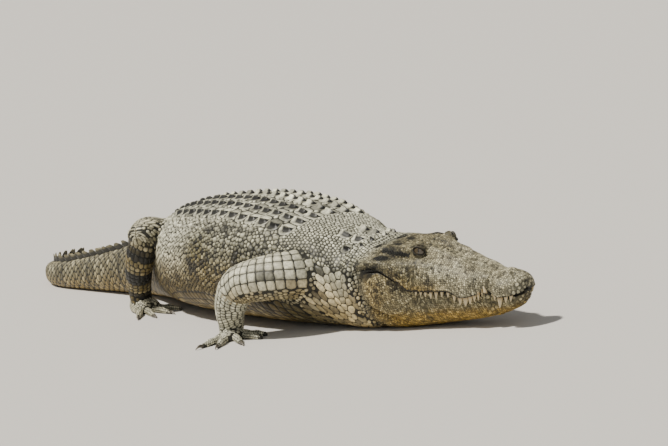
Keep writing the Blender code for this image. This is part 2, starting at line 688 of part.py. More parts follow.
def make_limb(label, upper_rows, lower_rows, side, shift, low, plan, toes, trunk_cutter):
    """One leg from trunk to ankle, its foot and its claws, each clear of the one before."""
    word = "left" if side > 0 else "right"
    leg = loft(f"{label}_{word}", limb_rings(upper_rows, side, shift, low, True), "limb")
    shank = loft("shank", limb_rings(lower_rows, side, shift, low, False), "limb")
    apply_boolean(leg, shank, "UNION")
    apply_boolean(leg, trunk_cutter, "DIFFERENCE")
    foot_name = ("hand_" if label == "arm" else "foot_") + word
    foot, frame = paw(foot_name, side, shift, plan, toes)
    cut_by_larger_copy(leg, foot)
    for number, (spread, reach) in enumerate(toes[:CLAWED], 1):
        line = toe_line(side, plan[2], plan[3], spread, reach)
        make_claw(f"claw_{foot_name}_{number}", frame, line)


def cut_by_larger_copy(piece, other):
    """Cut a piece clear of its neighbour, by a copy of the neighbour a little larger all round."""
    cutter = other.copy()
    cutter.data = other.data.copy()
    cutter.name = other.name + "_cutter"
    CUTTERS.objects.link(cutter)
    cutter.hide_render, cutter.display_type = True, "WIRE"
    low, high = box([cutter])
    middle = (low + high) / 2.0
    larger = Matrix.Diagonal((*(1.0 + 2.0 * LEG_GAP / (high - low)), 1.0))
    cutter.data.transform(Matrix.Translation(middle) @ larger @ Matrix.Translation(-middle))
    apply_boolean(piece, cutter, "DIFFERENCE")


# ---------------------------------------------------------------- the whole animal

def box(pieces):
    """Lowest and highest corners of some pieces together."""
    corners = np.array([v.co for piece in pieces for v in piece.data.vertices])
    return corners.min(axis=0), corners.max(axis=0)


def centre_on_floor():
    """Move the animal so that the middle of its box stands over the origin."""
    low, high = box(PARTS.objects)
    middle = (low + high) / 2.0
    for piece in list(PARTS.objects) + list(CUTTERS.objects):
        piece.data.transform(Matrix.Translation(Vector((-middle[0], -middle[1], 0.0))))


def main():
    clear_scene()
    lay_spine()
    make_head()
    neck = make_body("neck", HEAD_BACK, NECK_BACK, NECK_RINGS, RING_POINTS, "hide")
    add_nape_plates(neck)
    rows = stations(HEAD_BACK, NECK_BACK, NECK_RINGS)
    for name, front, back, count in TRUNK:
        add_keels(make_body(name, front, back, count, RING_POINTS, "hide"), front, back)
        rows += stations(front, back, count)[1:]
    for number in range(TAIL_PIECES):
        front = HIP_BACK - number * WHORLS_IN_A_PIECE * CREST_PITCH
        back = front - WHORLS_IN_A_PIECE * CREST_PITCH if number < TAIL_PIECES - 1 else TAIL_TIP
        piece = make_body(f"tail_{number + 1}", front, back, TAIL_RINGS, TAIL_POINTS, "tail")
        add_crest(piece, front, back)
    cutter = loft("trunk_cutter", [body_ring(s, RING_POINTS, LEG_GAP) for s in rows], "hide", CUTTERS)
    for side in (1.0, -1.0):
        left = side > 0.0
        make_limb("arm", UPPER_ARM, FOREARM, side, LEFT_ARM_BACK if left else 0.0,
                  LEFT_ARM_LOW if left else 1.0, HAND, FINGERS, cutter)
        make_limb("leg", THIGH, SHANK, side, LEFT_LEG_BACK if left else 0.0, 1.0, FOOT, TOES, cutter)
    centre_on_floor()


main()
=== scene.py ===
import itertools
import math

import bmesh
import bpy
import numpy as np
from mathutils import Matrix, Vector, kdtree
from mathutils.bvhtree import BVHTree


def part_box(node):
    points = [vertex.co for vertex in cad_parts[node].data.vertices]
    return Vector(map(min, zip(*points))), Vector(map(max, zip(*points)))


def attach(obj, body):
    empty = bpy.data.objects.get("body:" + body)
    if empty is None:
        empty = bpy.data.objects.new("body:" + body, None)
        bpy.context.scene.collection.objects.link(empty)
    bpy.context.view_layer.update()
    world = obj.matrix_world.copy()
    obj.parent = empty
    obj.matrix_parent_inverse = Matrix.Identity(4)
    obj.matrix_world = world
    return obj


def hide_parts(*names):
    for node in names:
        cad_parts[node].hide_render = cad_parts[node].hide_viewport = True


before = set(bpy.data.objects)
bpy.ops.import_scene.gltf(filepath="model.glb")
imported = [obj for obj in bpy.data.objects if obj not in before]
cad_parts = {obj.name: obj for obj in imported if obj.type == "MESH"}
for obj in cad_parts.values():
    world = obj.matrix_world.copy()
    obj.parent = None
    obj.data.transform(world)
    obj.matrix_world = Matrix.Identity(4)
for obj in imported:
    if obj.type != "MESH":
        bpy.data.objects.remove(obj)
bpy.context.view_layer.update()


# ------------------------ the hide
# One closed skin from the snout to the tip of the tail, with the four legs and feet grown into it.
# On the animal it is tough leather over flesh and bone; in a model of it, cast resin over a core.
# It stays inside the solids by the depth of the scales that stand on it.
HEAD_AT = 0.86               # station of the back of the skull roof
NECK_FROM, NECK_AT = 0.62, 0.77     # stations where the neck begins to turn into the head, and has
TAIL_AT, SNOUT_AT = -2.598, 1.3966
DATUM = 0.165                # height over the floor of the line the head is measured from
HEAD_ROLL = math.radians(5.0)
COAT = 0.0022                # depth of the scales over the skin
LOWEST_SKIN = 0.0026         # the scales of the belly stand under the skin, on the floor
TURNS = ((14.0, 0.4, 0.78), (8.0, -0.6, -1.0), (-90.0, -1.5, -2.45))
BODY = (
    # station, half width, height of the widest line, height of the back
    (-2.6, 0.006, 0.01, 0.022), (-2.3, 0.02, 0.026, 0.06), (-1.95, 0.04, 0.038, 0.084),
    (-1.6, 0.063, 0.054, 0.116), (-1.2, 0.094, 0.082, 0.172), (-0.9, 0.126, 0.112, 0.23),
    (-0.68, 0.166, 0.14, 0.29), (-0.5, 0.21, 0.165, 0.355), (-0.25, 0.275, 0.185, 0.4),
    (0.05, 0.292, 0.195, 0.41), (0.3, 0.275, 0.19, 0.394), (0.5, 0.24, 0.175, 0.36),
    (0.65, 0.2, 0.165, 0.318), (0.77, 0.178, 0.16, 0.288),
)
UPPER_WIDTH = (
    (-0.09, 0.178), (0.0, 0.172), (0.08, 0.158), (0.16, 0.14), (0.25, 0.118), (0.32, 0.101),
    (0.355, 0.097), (0.39, 0.083), (0.422, 0.064), (0.448, 0.07), (0.48, 0.077), (0.508, 0.067),
    (0.525, 0.05), (0.533, 0.033), (0.5367, 0.012),
)
UPPER_TOP = (
    (-0.09, 0.125), (-0.02, 0.114), (0.05, 0.107), (0.13, 0.1), (0.2, 0.088), (0.27, 0.064),
    (0.36, 0.034), (0.43, 0.014), (0.49, -0.002), (0.515, -0.007), (0.528, -0.013), (0.5345, -0.02),
    (0.5367, -0.027),
)
LIP = (
    (-0.09, -0.005), (0.0, 0.046), (0.06, 0.052), (0.11, 0.022), (0.16, -0.018), (0.22, -0.028),
    (0.29, -0.032), (0.345, -0.054), (0.39, -0.05), (0.422, -0.036), (0.45, -0.046),
    (0.485, -0.057), (0.515, -0.057), (0.528, -0.056), (0.5345, -0.054), (0.5367, -0.051),
)
JAW_BOTTOM = (
    (-0.09, -0.165), (0.06, -0.165), (0.16, -0.158), (0.28, -0.15), (0.4, -0.134),
    (0.48, -0.114), (0.515, -0.096), (0.53, -0.08),
)
JAW_INSET, NOTCH_AT, NOTCH_LENGTH, NOTCH_SWELL = 0.02, 0.423, 0.016, 1.75
CHIN_AT, CHIN_LENGTH = 0.49, 0.046
NOSTRIL_AT, NOSTRIL_OUT = 0.503, 0.0135
BUMPS = (
    # forward, out, length, width, height: brow, snout ridge, nostrils, valley between brows, cheek
    (0.165, 0.06, 0.05, 0.026, 0.019), (0.27, 0.04, 0.09, 0.014, 0.007),
    (0.486, 0.0, 0.028, 0.034, 0.02), (0.17, 0.0, 0.06, 0.026, -0.01),
    (0.06, 0.125, 0.06, 0.03, -0.01),
)


def ease(start, end, value):
    """0 before start, 1 after end, a smooth step between."""
    t = np.clip((value - start) / (end - start), 0.0, 1.0)
    return t * t * (3.0 - 2.0 * t)


def read(table, where, column=1):
    """A column of a table of sizes at any places, by a curve that never overshoots."""
    xs = np.array([row[0] for row in table])
    ys = np.array([row[column] for row in table])
    slope = np.diff(ys) / np.diff(xs)
    before, after = slope[:-1], slope[1:]
    both = np.where(before * after > 0.0, before + after, 1.0)
    inner = np.where(before * after > 0.0, 2.0 * before * after / both, 0.0)
    slopes = np.concatenate([slope[:1], inner, slope[-1:]])
    where = np.clip(where, xs[0], xs[-1])
    i = np.clip(np.searchsorted(xs, where, side="right") - 1, 0, len(xs) - 2)
    reach = xs[i + 1] - xs[i]
    t = (where - xs[i]) / reach
    return (ys[i] * (1 + 2 * t) * (1 - t) ** 2 + slopes[i] * reach * t * (1 - t) ** 2
            + ys[i + 1] * t * t * (3 - 2 * t) + slopes[i + 1] * reach * t * t * (t - 1))


def heading(station):
    """Direction of the spine line, in radians from +X."""
    return np.radians(sum(turn * ease(0.0, 1.0, (station - a) / (b - a)) for turn, a, b in TURNS))


LINE_STEP = 0.002
LINE_AT = np.arange(-2.7, 1.45, LINE_STEP)
LINE = np.zeros((len(LINE_AT), 2))
half_way = heading((LINE_AT[1:] + LINE_AT[:-1]) / 2.0)
LINE[1:, 0] = np.cumsum(np.cos(half_way)) * LINE_STEP
LINE[1:, 1] = np.cumsum(np.sin(half_way)) * LINE_STEP
SHOULDER_AT = 0.33           # station of the joint between the shoulder and the middle of the trunk
loin_low, loin_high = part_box("trunk_loin")
middle_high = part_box("trunk_middle")[1]
LINE -= (np.interp(0.0, LINE_AT, LINE[:, 0]) - (middle_high[0] - SHOULDER_AT),
         np.interp(0.0, LINE_AT, LINE[:, 1]) - (loin_low[1] + loin_high[1]) / 2.0)


def stand(points):
    """Points (station, out to the left, up from the datum) of the straight animal, in the frame."""
    station, out, up = points[..., 0], points[..., 1], points[..., 2]
    roll = HEAD_ROLL * ease(NECK_FROM, NECK_AT, station)
    out, up = out * np.cos(roll) - up * np.sin(roll), out * np.sin(roll) + up * np.cos(roll)
    turn = heading(station)
    x = np.interp(station, LINE_AT, LINE[:, 0]) - np.sin(turn) * out
    y = np.interp(station, LINE_AT, LINE[:, 1]) + np.cos(turn) * out
    return np.stack([x, y, np.maximum(up + DATUM, LOWEST_SKIN)], axis=-1)


def quarter(angle, power_out, power_up):
    """Out and up, as shares, of a rounded quarter at angles from its widest line."""
    return np.abs(np.cos(angle)) ** power_out, np.sign(angle) * np.abs(np.sin(angle)) ** power_up


def body_section(station, angle):
    """Out and up of the body's surface at stations and angles round the section."""
    half, side, back = (read(BODY, station, column) for column in (1, 2, 3))
    square = 0.72 + 0.08 * ease(-1.2, -0.5, station)
    power = np.where(angle < 0.0, 0.84, square)
    out, up = quarter(angle, power, power)
    floor_flat = 0.003 * (1.0 - ease(NECK_FROM, NECK_AT, station))
    return half * out, side + np.where(angle < 0.0, side, back - side) * up - DATUM - floor_flat


def notch(forward):
    """How far into the notch behind the snout's tip a place is, 0 to 1."""
    return np.exp(-((forward - NOTCH_AT) / NOTCH_LENGTH) ** 2)


def skull_section(forward, angle):
    """Out and up of the head's surface: the lower jaw under angle 0, the upper jaw over it."""
    lip, half, top = read(LIP, forward), read(UPPER_WIDTH, forward), read(UPPER_TOP, forward)
    snout = ease(0.1, 0.3, forward)
    inset = JAW_INSET * ease(0.04, 0.2, forward) * (1.0 - NOTCH_SWELL * notch(forward))
    chin = np.sqrt(np.clip(1.0 - ((forward - CHIN_AT) / CHIN_LENGTH) ** 2, 0.0, 1.0))
    chin = np.where(forward > CHIN_AT, 0.15 + 0.85 * chin, 1.0)
    low_out, low_up = quarter(angle, 0.62 + 0.1 * snout, 0.62 + 0.22 * snout)
    low_out = np.maximum(half - inset, 0.012) * low_out
    low_up = lip + (lip - read(JAW_BOTTOM, forward)) * low_up * chin
    out, up = quarter(angle, 1.15 - 0.45 * snout, 0.66 + 0.14 * snout)
    out, up = half * out, lip + (top - lip) * up
    weight = ease(0.15, 0.75, np.sin(angle))
    for at, aside, length, width, height in BUMPS:
        up = up + weight * height * np.exp(-((forward - at) / length) ** 2 - ((out - aside) / width) ** 2)
    return np.where(angle < 0.0, low_out, out), np.where(angle < 0.0, low_up, up)


def section(station, angle):
    """Out and up at any station: the neck takes on the shape of the head's back."""
    blend = ease(NECK_FROM, NECK_AT, station)
    out, up = body_section(np.minimum(station, NECK_AT), angle)
    head_out, head_up = skull_section(np.maximum(station - HEAD_AT, NECK_AT - HEAD_AT), angle)
    return out + (head_out - out) * blend, up + (head_up - up) * blend


# Half sections from the middle of the back down one side, under the lip, to the middle of the belly.
OVER, UNDER, LEDGE = 110, 80, 14
SNOUT_ROUND, HEAD_ENDS, TRUNK_ENDS = 0.028, 0.8, -0.72
LIP_DEPTH, LIP_GAP, LEDGE_TURN = 0.011, 0.0045, 0.55     # the crack of the mouth: how deep, how high
head_rows = np.concatenate([SNOUT_AT - SNOUT_ROUND * np.linspace(0.0, 1.0, 17)[:-1] ** 1.8,
                            np.linspace(SNOUT_AT - SNOUT_ROUND, HEAD_ENDS, 172)])
trunk_rows = np.linspace(HEAD_ENDS, TRUNK_ENDS, 176)[1:]
tail_rows = np.linspace(TRUNK_ENDS, TAIL_AT, 156)[1:]
rows = np.concatenate([head_rows, trunk_rows, tail_rows])
mouth = ease(0.855, 0.905, rows)[:, None]
shut = 0.035 * (1.0 - mouth)
over = shut + (math.pi / 2.0 - shut) * np.linspace(1.0, 0.0, OVER)[None, :]
under = -shut - (math.pi / 2.0 - shut) * np.linspace(0.0, 1.0, UNDER)[None, :] - 1e-5
out_over, up_over = section(rows[:, None], over)
out_under, up_under = section(rows[:, None], under)
lip_out, lip_up = out_over[:, -1:], up_over[:, -1:]
jaw_out = section(rows[:, None], np.array([[-1e-4]]))[0]
inner = np.minimum(lip_out, jaw_out) - LIP_DEPTH * mouth
across = np.linspace(0.0, 1.0, LEDGE + 2)[1:-1][None, :]
go_in = np.sin(np.pi * np.clip(across / LEDGE_TURN, 0.0, 1.0) / 2.0)
come_out = np.clip((across - LEDGE_TURN) / (1.0 - LEDGE_TURN), 0.0, 1.0)
out_ledge = lip_out + (inner - lip_out) * go_in + (jaw_out - inner) * come_out
up_ledge = lip_up - LIP_GAP * mouth * across
out_plain, up_plain = section(rows[:, None], shut * (1.0 - 2.0 * across) - 1e-5)
out_ledge = out_plain + (out_ledge - out_plain) * mouth
up_ledge = up_plain + (up_ledge - up_plain) * mouth
up_under = up_under - LIP_GAP * mouth * (1.0 - np.linspace(0.0, 1.0, UNDER)[None, :]) ** 4
half_out = np.concatenate([out_over, out_ledge, out_under], axis=1)
half_up = np.concatenate([up_over, up_ledge, up_under], axis=1)
COLUMNS = half_out.shape[1]
ring_out = np.concatenate([-half_out[:, ::-1], half_out[:, 1:]], axis=1)[:, :-1]
ring_up = np.concatenate([half_up[:, ::-1], half_up[:, 1:]], axis=1)[:, :-1]
straight = np.stack([np.repeat(rows[:, None], ring_out.shape[1], axis=1), ring_out, ring_up], axis=-1)


def outward(grid):
    """Unit normals of a grid of points that is closed across its columns."""
    along_rows = np.gradient(grid, axis=0)
    round_rows = np.roll(grid, -1, axis=1) - np.roll(grid, 1, axis=1)
    normal = np.cross(along_rows, round_rows)
    normal /= np.maximum(np.linalg.norm(normal, axis=-1, keepdims=True), 1e-12)
    middle = grid.mean(axis=1, keepdims=True)
    facing = np.sign(np.sum(normal * (grid - middle), axis=-1).sum())
    return normal * facing


straight = straight - outward(straight) * COAT


# Folds and hollows of the straight animal. Those of the side are drawn in (forward, up), those of
# the top in (forward, out): the line, how wide, how high or deep.
SIDE_FOLDS = (
    (((0.03, 0.098), (0.06, 0.093), (0.09, 0.087), (0.142, 0.081)), 0.0055, -0.0175),
    (((0.02, 0.112), (0.05, 0.109), (0.1, 0.103), (0.135, 0.104)), 0.005, 0.005),
    (((0.04, 0.076), (0.1, 0.07), (0.16, 0.061), (0.23, 0.048)), 0.011, 0.0045),
    (((0.205, 0.078), (0.235, 0.066), (0.262, 0.058)), 0.005, -0.004),
    (((-0.03, 0.066), (0.02, 0.078), (0.06, 0.078), (0.1, 0.06), (0.13, 0.036)), 0.008, 0.006),
    (((-0.05, 0.036), (-0.02, 0.054), (0.02, 0.06), (0.055, 0.058)), 0.005, -0.0065),
    (((-0.03, 0.022), (0.01, 0.032), (0.05, 0.03)), 0.006, -0.004),
    (((0.1, 0.004), (0.15, -0.034), (0.22, -0.052)), 0.008, -0.003),
    (((-0.06, 0.09), (-0.052, 0.05), (-0.044, 0.01), (-0.03, -0.039), (0.0, -0.073),
      (0.045, -0.105), (0.1, -0.135)), 0.009, -0.017),
    (((-0.115, 0.09), (-0.105, 0.03), (-0.085, -0.04), (-0.045, -0.1), (0.0, -0.14)), 0.011, -0.007),
    (((-0.18, 0.1), (-0.165, 0.02), (-0.14, -0.06), (-0.1, -0.12)), 0.013, -0.005),
    (((0.435, 0.002), (0.433, -0.012), (0.43, -0.032)), 0.0042, -0.009),
    (((0.255, 0.01), (0.3, -0.004), (0.325, -0.03)), 0.007, -0.0025),
)
TOP_FOLDS = (
    (((0.01, 0.066), (0.05, 0.07), (0.1, 0.066), (0.15, 0.06)), 0.015, 0.0065),
    (((0.2, 0.052), (0.25, 0.038), (0.31, 0.03)), 0.011, 0.0075),
    (((0.1, 0.04), (0.16, 0.036), (0.215, 0.036)), 0.013, 0.0065),
    (((0.235, 0.016), (0.3, 0.012), (0.4, 0.01)), 0.012, -0.003),
    (((0.455, 0.03), (0.475, 0.034), (0.5, 0.03)), 0.005, -0.003),
)
SWELLINGS = (
    # forward, up, out from here on, radius, height: jowl, bulge behind the mouth, bulge of the biggest
    # teeth, tip of the snout, side of the neck, shoulder
    (0.045, -0.025, 0.05, 0.052, 0.0085), (0.115, -0.035, 0.05, 0.04, 0.004),
    (0.355, -0.022, 0.05, 0.03, 0.005), (0.48, -0.028, 0.03, 0.03, 0.003),
    (-0.085, 0.0, 0.05, 0.04, 0.006), (-0.28, 0.02, 0.05, 0.09, 0.006),
)
HOLLOWS = (
    # forward, out, length, width, depth: behind the skull roof, its two pits, the nostrils
    (-0.03, 0.0, 0.026, 0.05, 0.011), (-0.006, 0.048, 0.011, 0.02, 0.015),
    (0.052, 0.028, 0.016, 0.012, 0.004), (NOSTRIL_AT, NOSTRIL_OUT, 0.0055, 0.0042, 0.0085),
)


def from_line(a, b, line):
    """Distance of points (a, b) from a bent line."""
    best = np.full(a.shape, 9.0)
    for (a0, b0), (a1, b1) in zip(line, line[1:]):
        reach = (a1 - a0) ** 2 + (b1 - b0) ** 2
        t = np.clip(((a - a0) * (a1 - a0) + (b - b0) * (b1 - b0)) / reach, 0.0, 1.0)
        best = np.minimum(best, np.hypot(a - a0 - t * (a1 - a0), b - b0 - t * (b1 - b0)))
    return best


head_part = straight[: len(head_rows) + 60]
forward, out, up = head_part[..., 0] - HEAD_AT, np.abs(head_part[..., 1]), head_part[..., 2]
push = np.zeros(forward.shape)
lip_line, top_line = read(LIP, forward), read(UPPER_TOP, forward)
sideways = ease(0.3, 0.75, out / np.maximum(np.max(out, axis=1, keepdims=True), 0.01))
upwards = ease(0.2, 0.5, (up - lip_line) / np.maximum(top_line - lip_line, 0.02))
for line, width, height in SIDE_FOLDS:
    push += sideways * height * np.exp(-(from_line(forward, up, line) / width) ** 2)
for line, width, height in TOP_FOLDS:
    push += upwards * height * np.exp(-(from_line(forward, out, line) / width) ** 2)
for at, high, beyond, radius, height in SWELLINGS:
    reach = ((forward - at) ** 2 + (up - high) ** 2) / radius ** 2
    push += ease(0.0, beyond, out) * height * np.exp(-reach)
for at, aside, length, width, depth in HOLLOWS:
    reach = ((forward - at) / length) ** 2 + ((out - aside) / width) ** 2
    push -= upwards * depth * np.exp(-reach)
in_mouth = np.zeros(ring_out.shape[1])
in_mouth[COLUMNS - 1 - OVER - LEDGE:COLUMNS - 1 - OVER + 2] = 1.0
in_mouth[COLUMNS - 1 + OVER - 2:COLUMNS - 1 + OVER + LEDGE] = 1.0
push *= 1.0 - in_mouth[None, :] * mouth[: len(push)]
head_part += outward(head_part) * push[..., None]

# Over each eye the head rises in a dome; the lids and their opening are cut into it further on.
EYE_RADIUS, LID, BROW_ROUNDS = 0.0222, 0.0026, 40
EYE_IN_HEAD = (HEAD_AT + 0.18, 0.068, 0.09)
ALMOND_LONG, ALMOND_HIGH, ALMOND_TILT = 0.0196, 0.0112, math.radians(-27.0)


def eye_middle(side):
    """Middle of an eye of the straight animal, 1 for the left side and -1 for the right."""
    return np.array(EYE_IN_HEAD) * (1.0, side, 1.0)


def eye_axes(side):
    """Outward, forward and upward directions of an eye on the straight head."""
    gaze = Vector((0.52, side * 0.8, 0.28)).normalized()
    upright = Vector((0.0, 0.0, 1.0))
    ahead = (upright.cross(gaze) * -side).normalized()
    lift = (gaze.cross(ahead) * side * -1.0).normalized()
    lift = lift if lift.z > 0.0 else -lift
    along_lids = ahead * math.cos(ALMOND_TILT) + lift * math.sin(ALMOND_TILT)
    over_lids = lift * math.cos(ALMOND_TILT) - ahead * math.sin(ALMOND_TILT)
    return np.array(gaze), np.array(along_lids), np.array(over_lids)


for side in (1.0, -1.0):
    gaze = eye_axes(side)[0]
    spoke = head_part - eye_middle(side)
    away = np.linalg.norm(spoke, axis=-1)
    spoke = spoke / away[..., None]
    facing = np.maximum(ease(-0.3, 0.1, spoke @ gaze), ease(-0.15, 0.15, spoke[..., 2]))
    near = ease(0.042, 0.027, away) * facing
    wanted = away + (np.maximum(away, EYE_RADIUS + LID) - away) * near
    wanted = wanted + (EYE_RADIUS + LID - wanted) * near * ease(0.15, 0.45, spoke @ gaze)
    head_part += spoke * (wanted - away)[..., None]
    away = np.linalg.norm(head_part - eye_middle(side), axis=-1)
    loose = 0.55 * ease(0.025, 0.03, away) * ease(0.064, 0.046, away)
    for _ in range(BROW_ROUNDS):
        inside = head_part[1:-1, 1:-1]
        beside = head_part[:-2, 1:-1] + head_part[2:, 1:-1] + head_part[1:-1, :-2] + head_part[1:-1, 2:]
        inside += (beside / 4.0 - inside) * loose[1:-1, 1:-1, None]

# Low, slow unevenness of flesh over the ribs, and folds of loose hide on the flanks
trunk_part = straight[len(head_rows) - 20:]
station, out, up = trunk_part[..., 0], trunk_part[..., 1], trunk_part[..., 2]
fade = ease(0.8, 0.62, station) * ease(-1.6, -0.6, station)
wave = np.sin(station * 23.0 + 2.0 * np.sin(up * 19.0)) + 0.6 * np.sin(station * 41.0 + up * 25.0 + out * 9.0)
on_flank = ease(0.3, 0.06, np.abs(up + DATUM - 0.2))
trunk_part += outward(trunk_part) * (0.0016 * wave * fade * on_flank)[..., None]

body = stand(straight)


def spaced_along(grid, count, least=0.0):
    """Points evenly spaced along each row of a grid, and how far along it each old point is."""
    steps = np.linalg.norm(np.diff(grid, axis=1), axis=-1) + least
    length = np.concatenate([np.zeros((len(grid), 1)), np.cumsum(steps, axis=1)], axis=1)
    even = np.empty((len(grid), count + 1, 3))
    for i in range(len(grid)):
        places = np.linspace(0.0, length[i, -1], count + 1)
        for axis in range(3):
            even[i, :, axis] = np.interp(places, length[i], grid[i, :, axis])
    return even, length


def even_rings(grid, count):
    """The same rings with their points evenly spaced round them, and how long each ring is."""
    return spaced_along(np.concatenate([grid, grid[:, :1]], axis=1), count)


# Columns of the skin's mesh: belly to jaw, the ledge under the lip, lip to back, and again
ledge_cols = OVER - 1, OVER + LEDGE
centre_col = COLUMNS - 1
belly_right, jaw_right, lip_right = 0, centre_col - ledge_cols[1], centre_col - ledge_cols[0]
lip_left, jaw_left = centre_col + ledge_cols[0], centre_col + ledge_cols[1]
closed_body = np.concatenate([body, body[:, :1]], axis=1)
stretches = ((belly_right, jaw_right, 32), (jaw_right, lip_right, 10), (lip_right, centre_col, 56),
             (centre_col, lip_left, 56), (lip_left, jaw_left, 10), (jaw_left, closed_body.shape[1] - 1, 32))
fine = np.concatenate([spaced_along(closed_body[:, first:last + 1], count, 1e-9)[0][:, :-1]
                       for first, last, count in stretches], axis=1)
mesh_rows = len(head_rows)
head_grid, body_grid = fine[:mesh_rows], fine[mesh_rows - 1:, ::2]


def grid_faces(rows_count, columns_count, start=0):
    """Quads of a grid that is closed across its columns."""
    r, c = np.meshgrid(np.arange(rows_count - 1), np.arange(columns_count), indexing="ij")
    ahead = (c + 1) % columns_count
    corners = [r * columns_count + c, r * columns_count + ahead,
               (r + 1) * columns_count + ahead, (r + 1) * columns_count + c]
    return (np.stack(corners, axis=-1).reshape(-1, 4) + start).tolist()


def new_object(name, data):
    """A mesh, a light or a camera put into the scene."""
    made = bpy.data.objects.new(name, data)
    bpy.context.scene.collection.objects.link(made)
    return made


def closed_mesh(name, points, faces):
    """An object of a closed mesh, doubles merged, faces outwards."""
    mesh = bpy.data.meshes.new(name)
    mesh.from_pydata([tuple(p) for p in points], [], faces)
    tidy = bmesh.new()
    tidy.from_mesh(mesh)
    bmesh.ops.remove_doubles(tidy, verts=tidy.verts, dist=1e-5)
    bmesh.ops.triangulate(tidy, faces=tidy.faces)
    bmesh.ops.recalc_face_normals(tidy, faces=tidy.faces)
    if tidy.calc_volume(signed=True) < 0.0:
        bmesh.ops.reverse_faces(tidy, faces=tidy.faces)
    tidy.to_mesh(mesh)
    tidy.free()
    return new_object(name, mesh)


def tube(name, grid):
    """A closed mesh from rings of points, with both ends closed at their middles."""
    count = grid.shape[1]
    points = np.concatenate([grid.reshape(-1, 3), grid[0].mean(axis=0)[None], grid[-1].mean(axis=0)[None]])
    faces = grid_faces(grid.shape[0], count)
    first, last = len(points) - 2, len(points) - 1
    end = (grid.shape[0] - 1) * count
    faces += [[(k + 1) % count, k, first] for k in range(count)]
    faces += [[end + k, end + (k + 1) % count, last] for k in range(count)]
    return closed_mesh(name, points, faces)


head_count, body_count = head_grid.shape[1], body_grid.shape[1]
coarse = body_grid[1:]
points = np.concatenate([head_grid.reshape(-1, 3), coarse.reshape(-1, 3),
                         head_grid[0].mean(axis=0)[None], coarse[-1].mean(axis=0)[None]])
faces = grid_faces(mesh_rows, head_count)
seam, below = (mesh_rows - 1) * head_count, mesh_rows * head_count
for k in range(body_count):
    f0, f1, f2 = seam + 2 * k, seam + 2 * k + 1, seam + (2 * k + 2) % head_count
    c0, c1 = below + k, below + (k + 1) % body_count
    faces += [[f0, f1, c0], [f1, c1, c0], [f1, f2, c1]]
faces += grid_faces(len(coarse), body_count, below)
tip, tail_tip = len(points) - 2, len(points) - 1
tail_end = below + (len(coarse) - 1) * body_count
faces += [[(k + 1) % head_count, k, tip] for k in range(head_count)]
faces += [[tail_end + k, tail_end + (k + 1) % body_count, tail_tip] for k in range(body_count)]
skin = closed_mesh("skin", points, faces)


# The legs: each is an upper and a lower length with a rounded joint, on a flat foot with toes.
UPPER_ARM = (((0.6, -0.11, 0.19), 0.085, 0.105), ((0.592, -0.2, 0.198), 0.08, 0.1),
             ((0.55, -0.272, 0.198), 0.073, 0.088), ((0.488, -0.322, 0.188), 0.066, 0.074),
             ((0.448, -0.342, 0.17), 0.058, 0.062))
FOREARM = (((0.462, -0.338, 0.172), 0.056, 0.058), ((0.434, -0.348, 0.135), 0.056, 0.06),
           ((0.41, -0.35, 0.095), 0.049, 0.053), ((0.394, -0.345, 0.055), 0.044, 0.042),
           ((0.386, -0.345, 0.03), 0.045, 0.03))
THIGH = (((-0.545, -0.08, 0.195), 0.085, 0.102), ((-0.505, -0.16, 0.255), 0.08, 0.096),
         ((-0.46, -0.222, 0.29), 0.066, 0.076), ((-0.44, -0.252, 0.29), 0.06, 0.064))
SHANK = (((-0.446, -0.252, 0.268), 0.052, 0.056), ((-0.466, -0.266, 0.222), 0.054, 0.058),
         ((-0.508, -0.266, 0.166), 0.05, 0.054), ((-0.552, -0.254, 0.1), 0.043, 0.043),
         ((-0.57, -0.252, 0.045), 0.044, 0.036))
ROUND_END = ((0.2, 0.97), (0.45, 0.86), (0.62, 0.68), (0.72, 0.45), (0.77, 0.24), (0.785, 0.06))
HAND = ((0.352, -0.332), -22.0, 0.1, 0.046, 0.03)
FOOT = ((-0.64, -0.24), -4.0, 0.15, 0.05, 0.038)
FINGERS = ((48.0, 0.078), (20.0, 0.1), (-6.0, 0.108), (-34.0, 0.094), (-60.0, 0.066))
TOES = ((24.0, 0.11), (8.0, 0.138), (-8.0, 0.145), (-26.0, 0.12))
TOE_ROOT, TOE_TIP = 0.0155, 0.0085
LIMB_RINGS, LIMB_POINTS, PAD_POINTS, TOE_POINTS = 26, 44, 36, 16
LOWEST_LIMB, LOWEST_PAD = 0.006, 0.0006
UP = np.array([0.0, 0.0, 1.0])
LEFT_ARM_BACK, LEFT_LEG_BACK, LEFT_ARM_LOW, ANKLE_HEIGHT = -0.1, -0.03, 0.8, 0.07
origin = np.array([np.interp(0.0, LINE_AT, LINE[:, 0]), np.interp(0.0, LINE_AT, LINE[:, 1]), 0.0])


def angles_round(count):
    """Angles evenly spaced round a circle."""
    return np.linspace(0.0, 2.0 * math.pi, count, endpoint=False)


def unit(vectors):
    """Vectors of the same directions, each one long."""
    return vectors / np.linalg.norm(vectors, axis=1, keepdims=True)


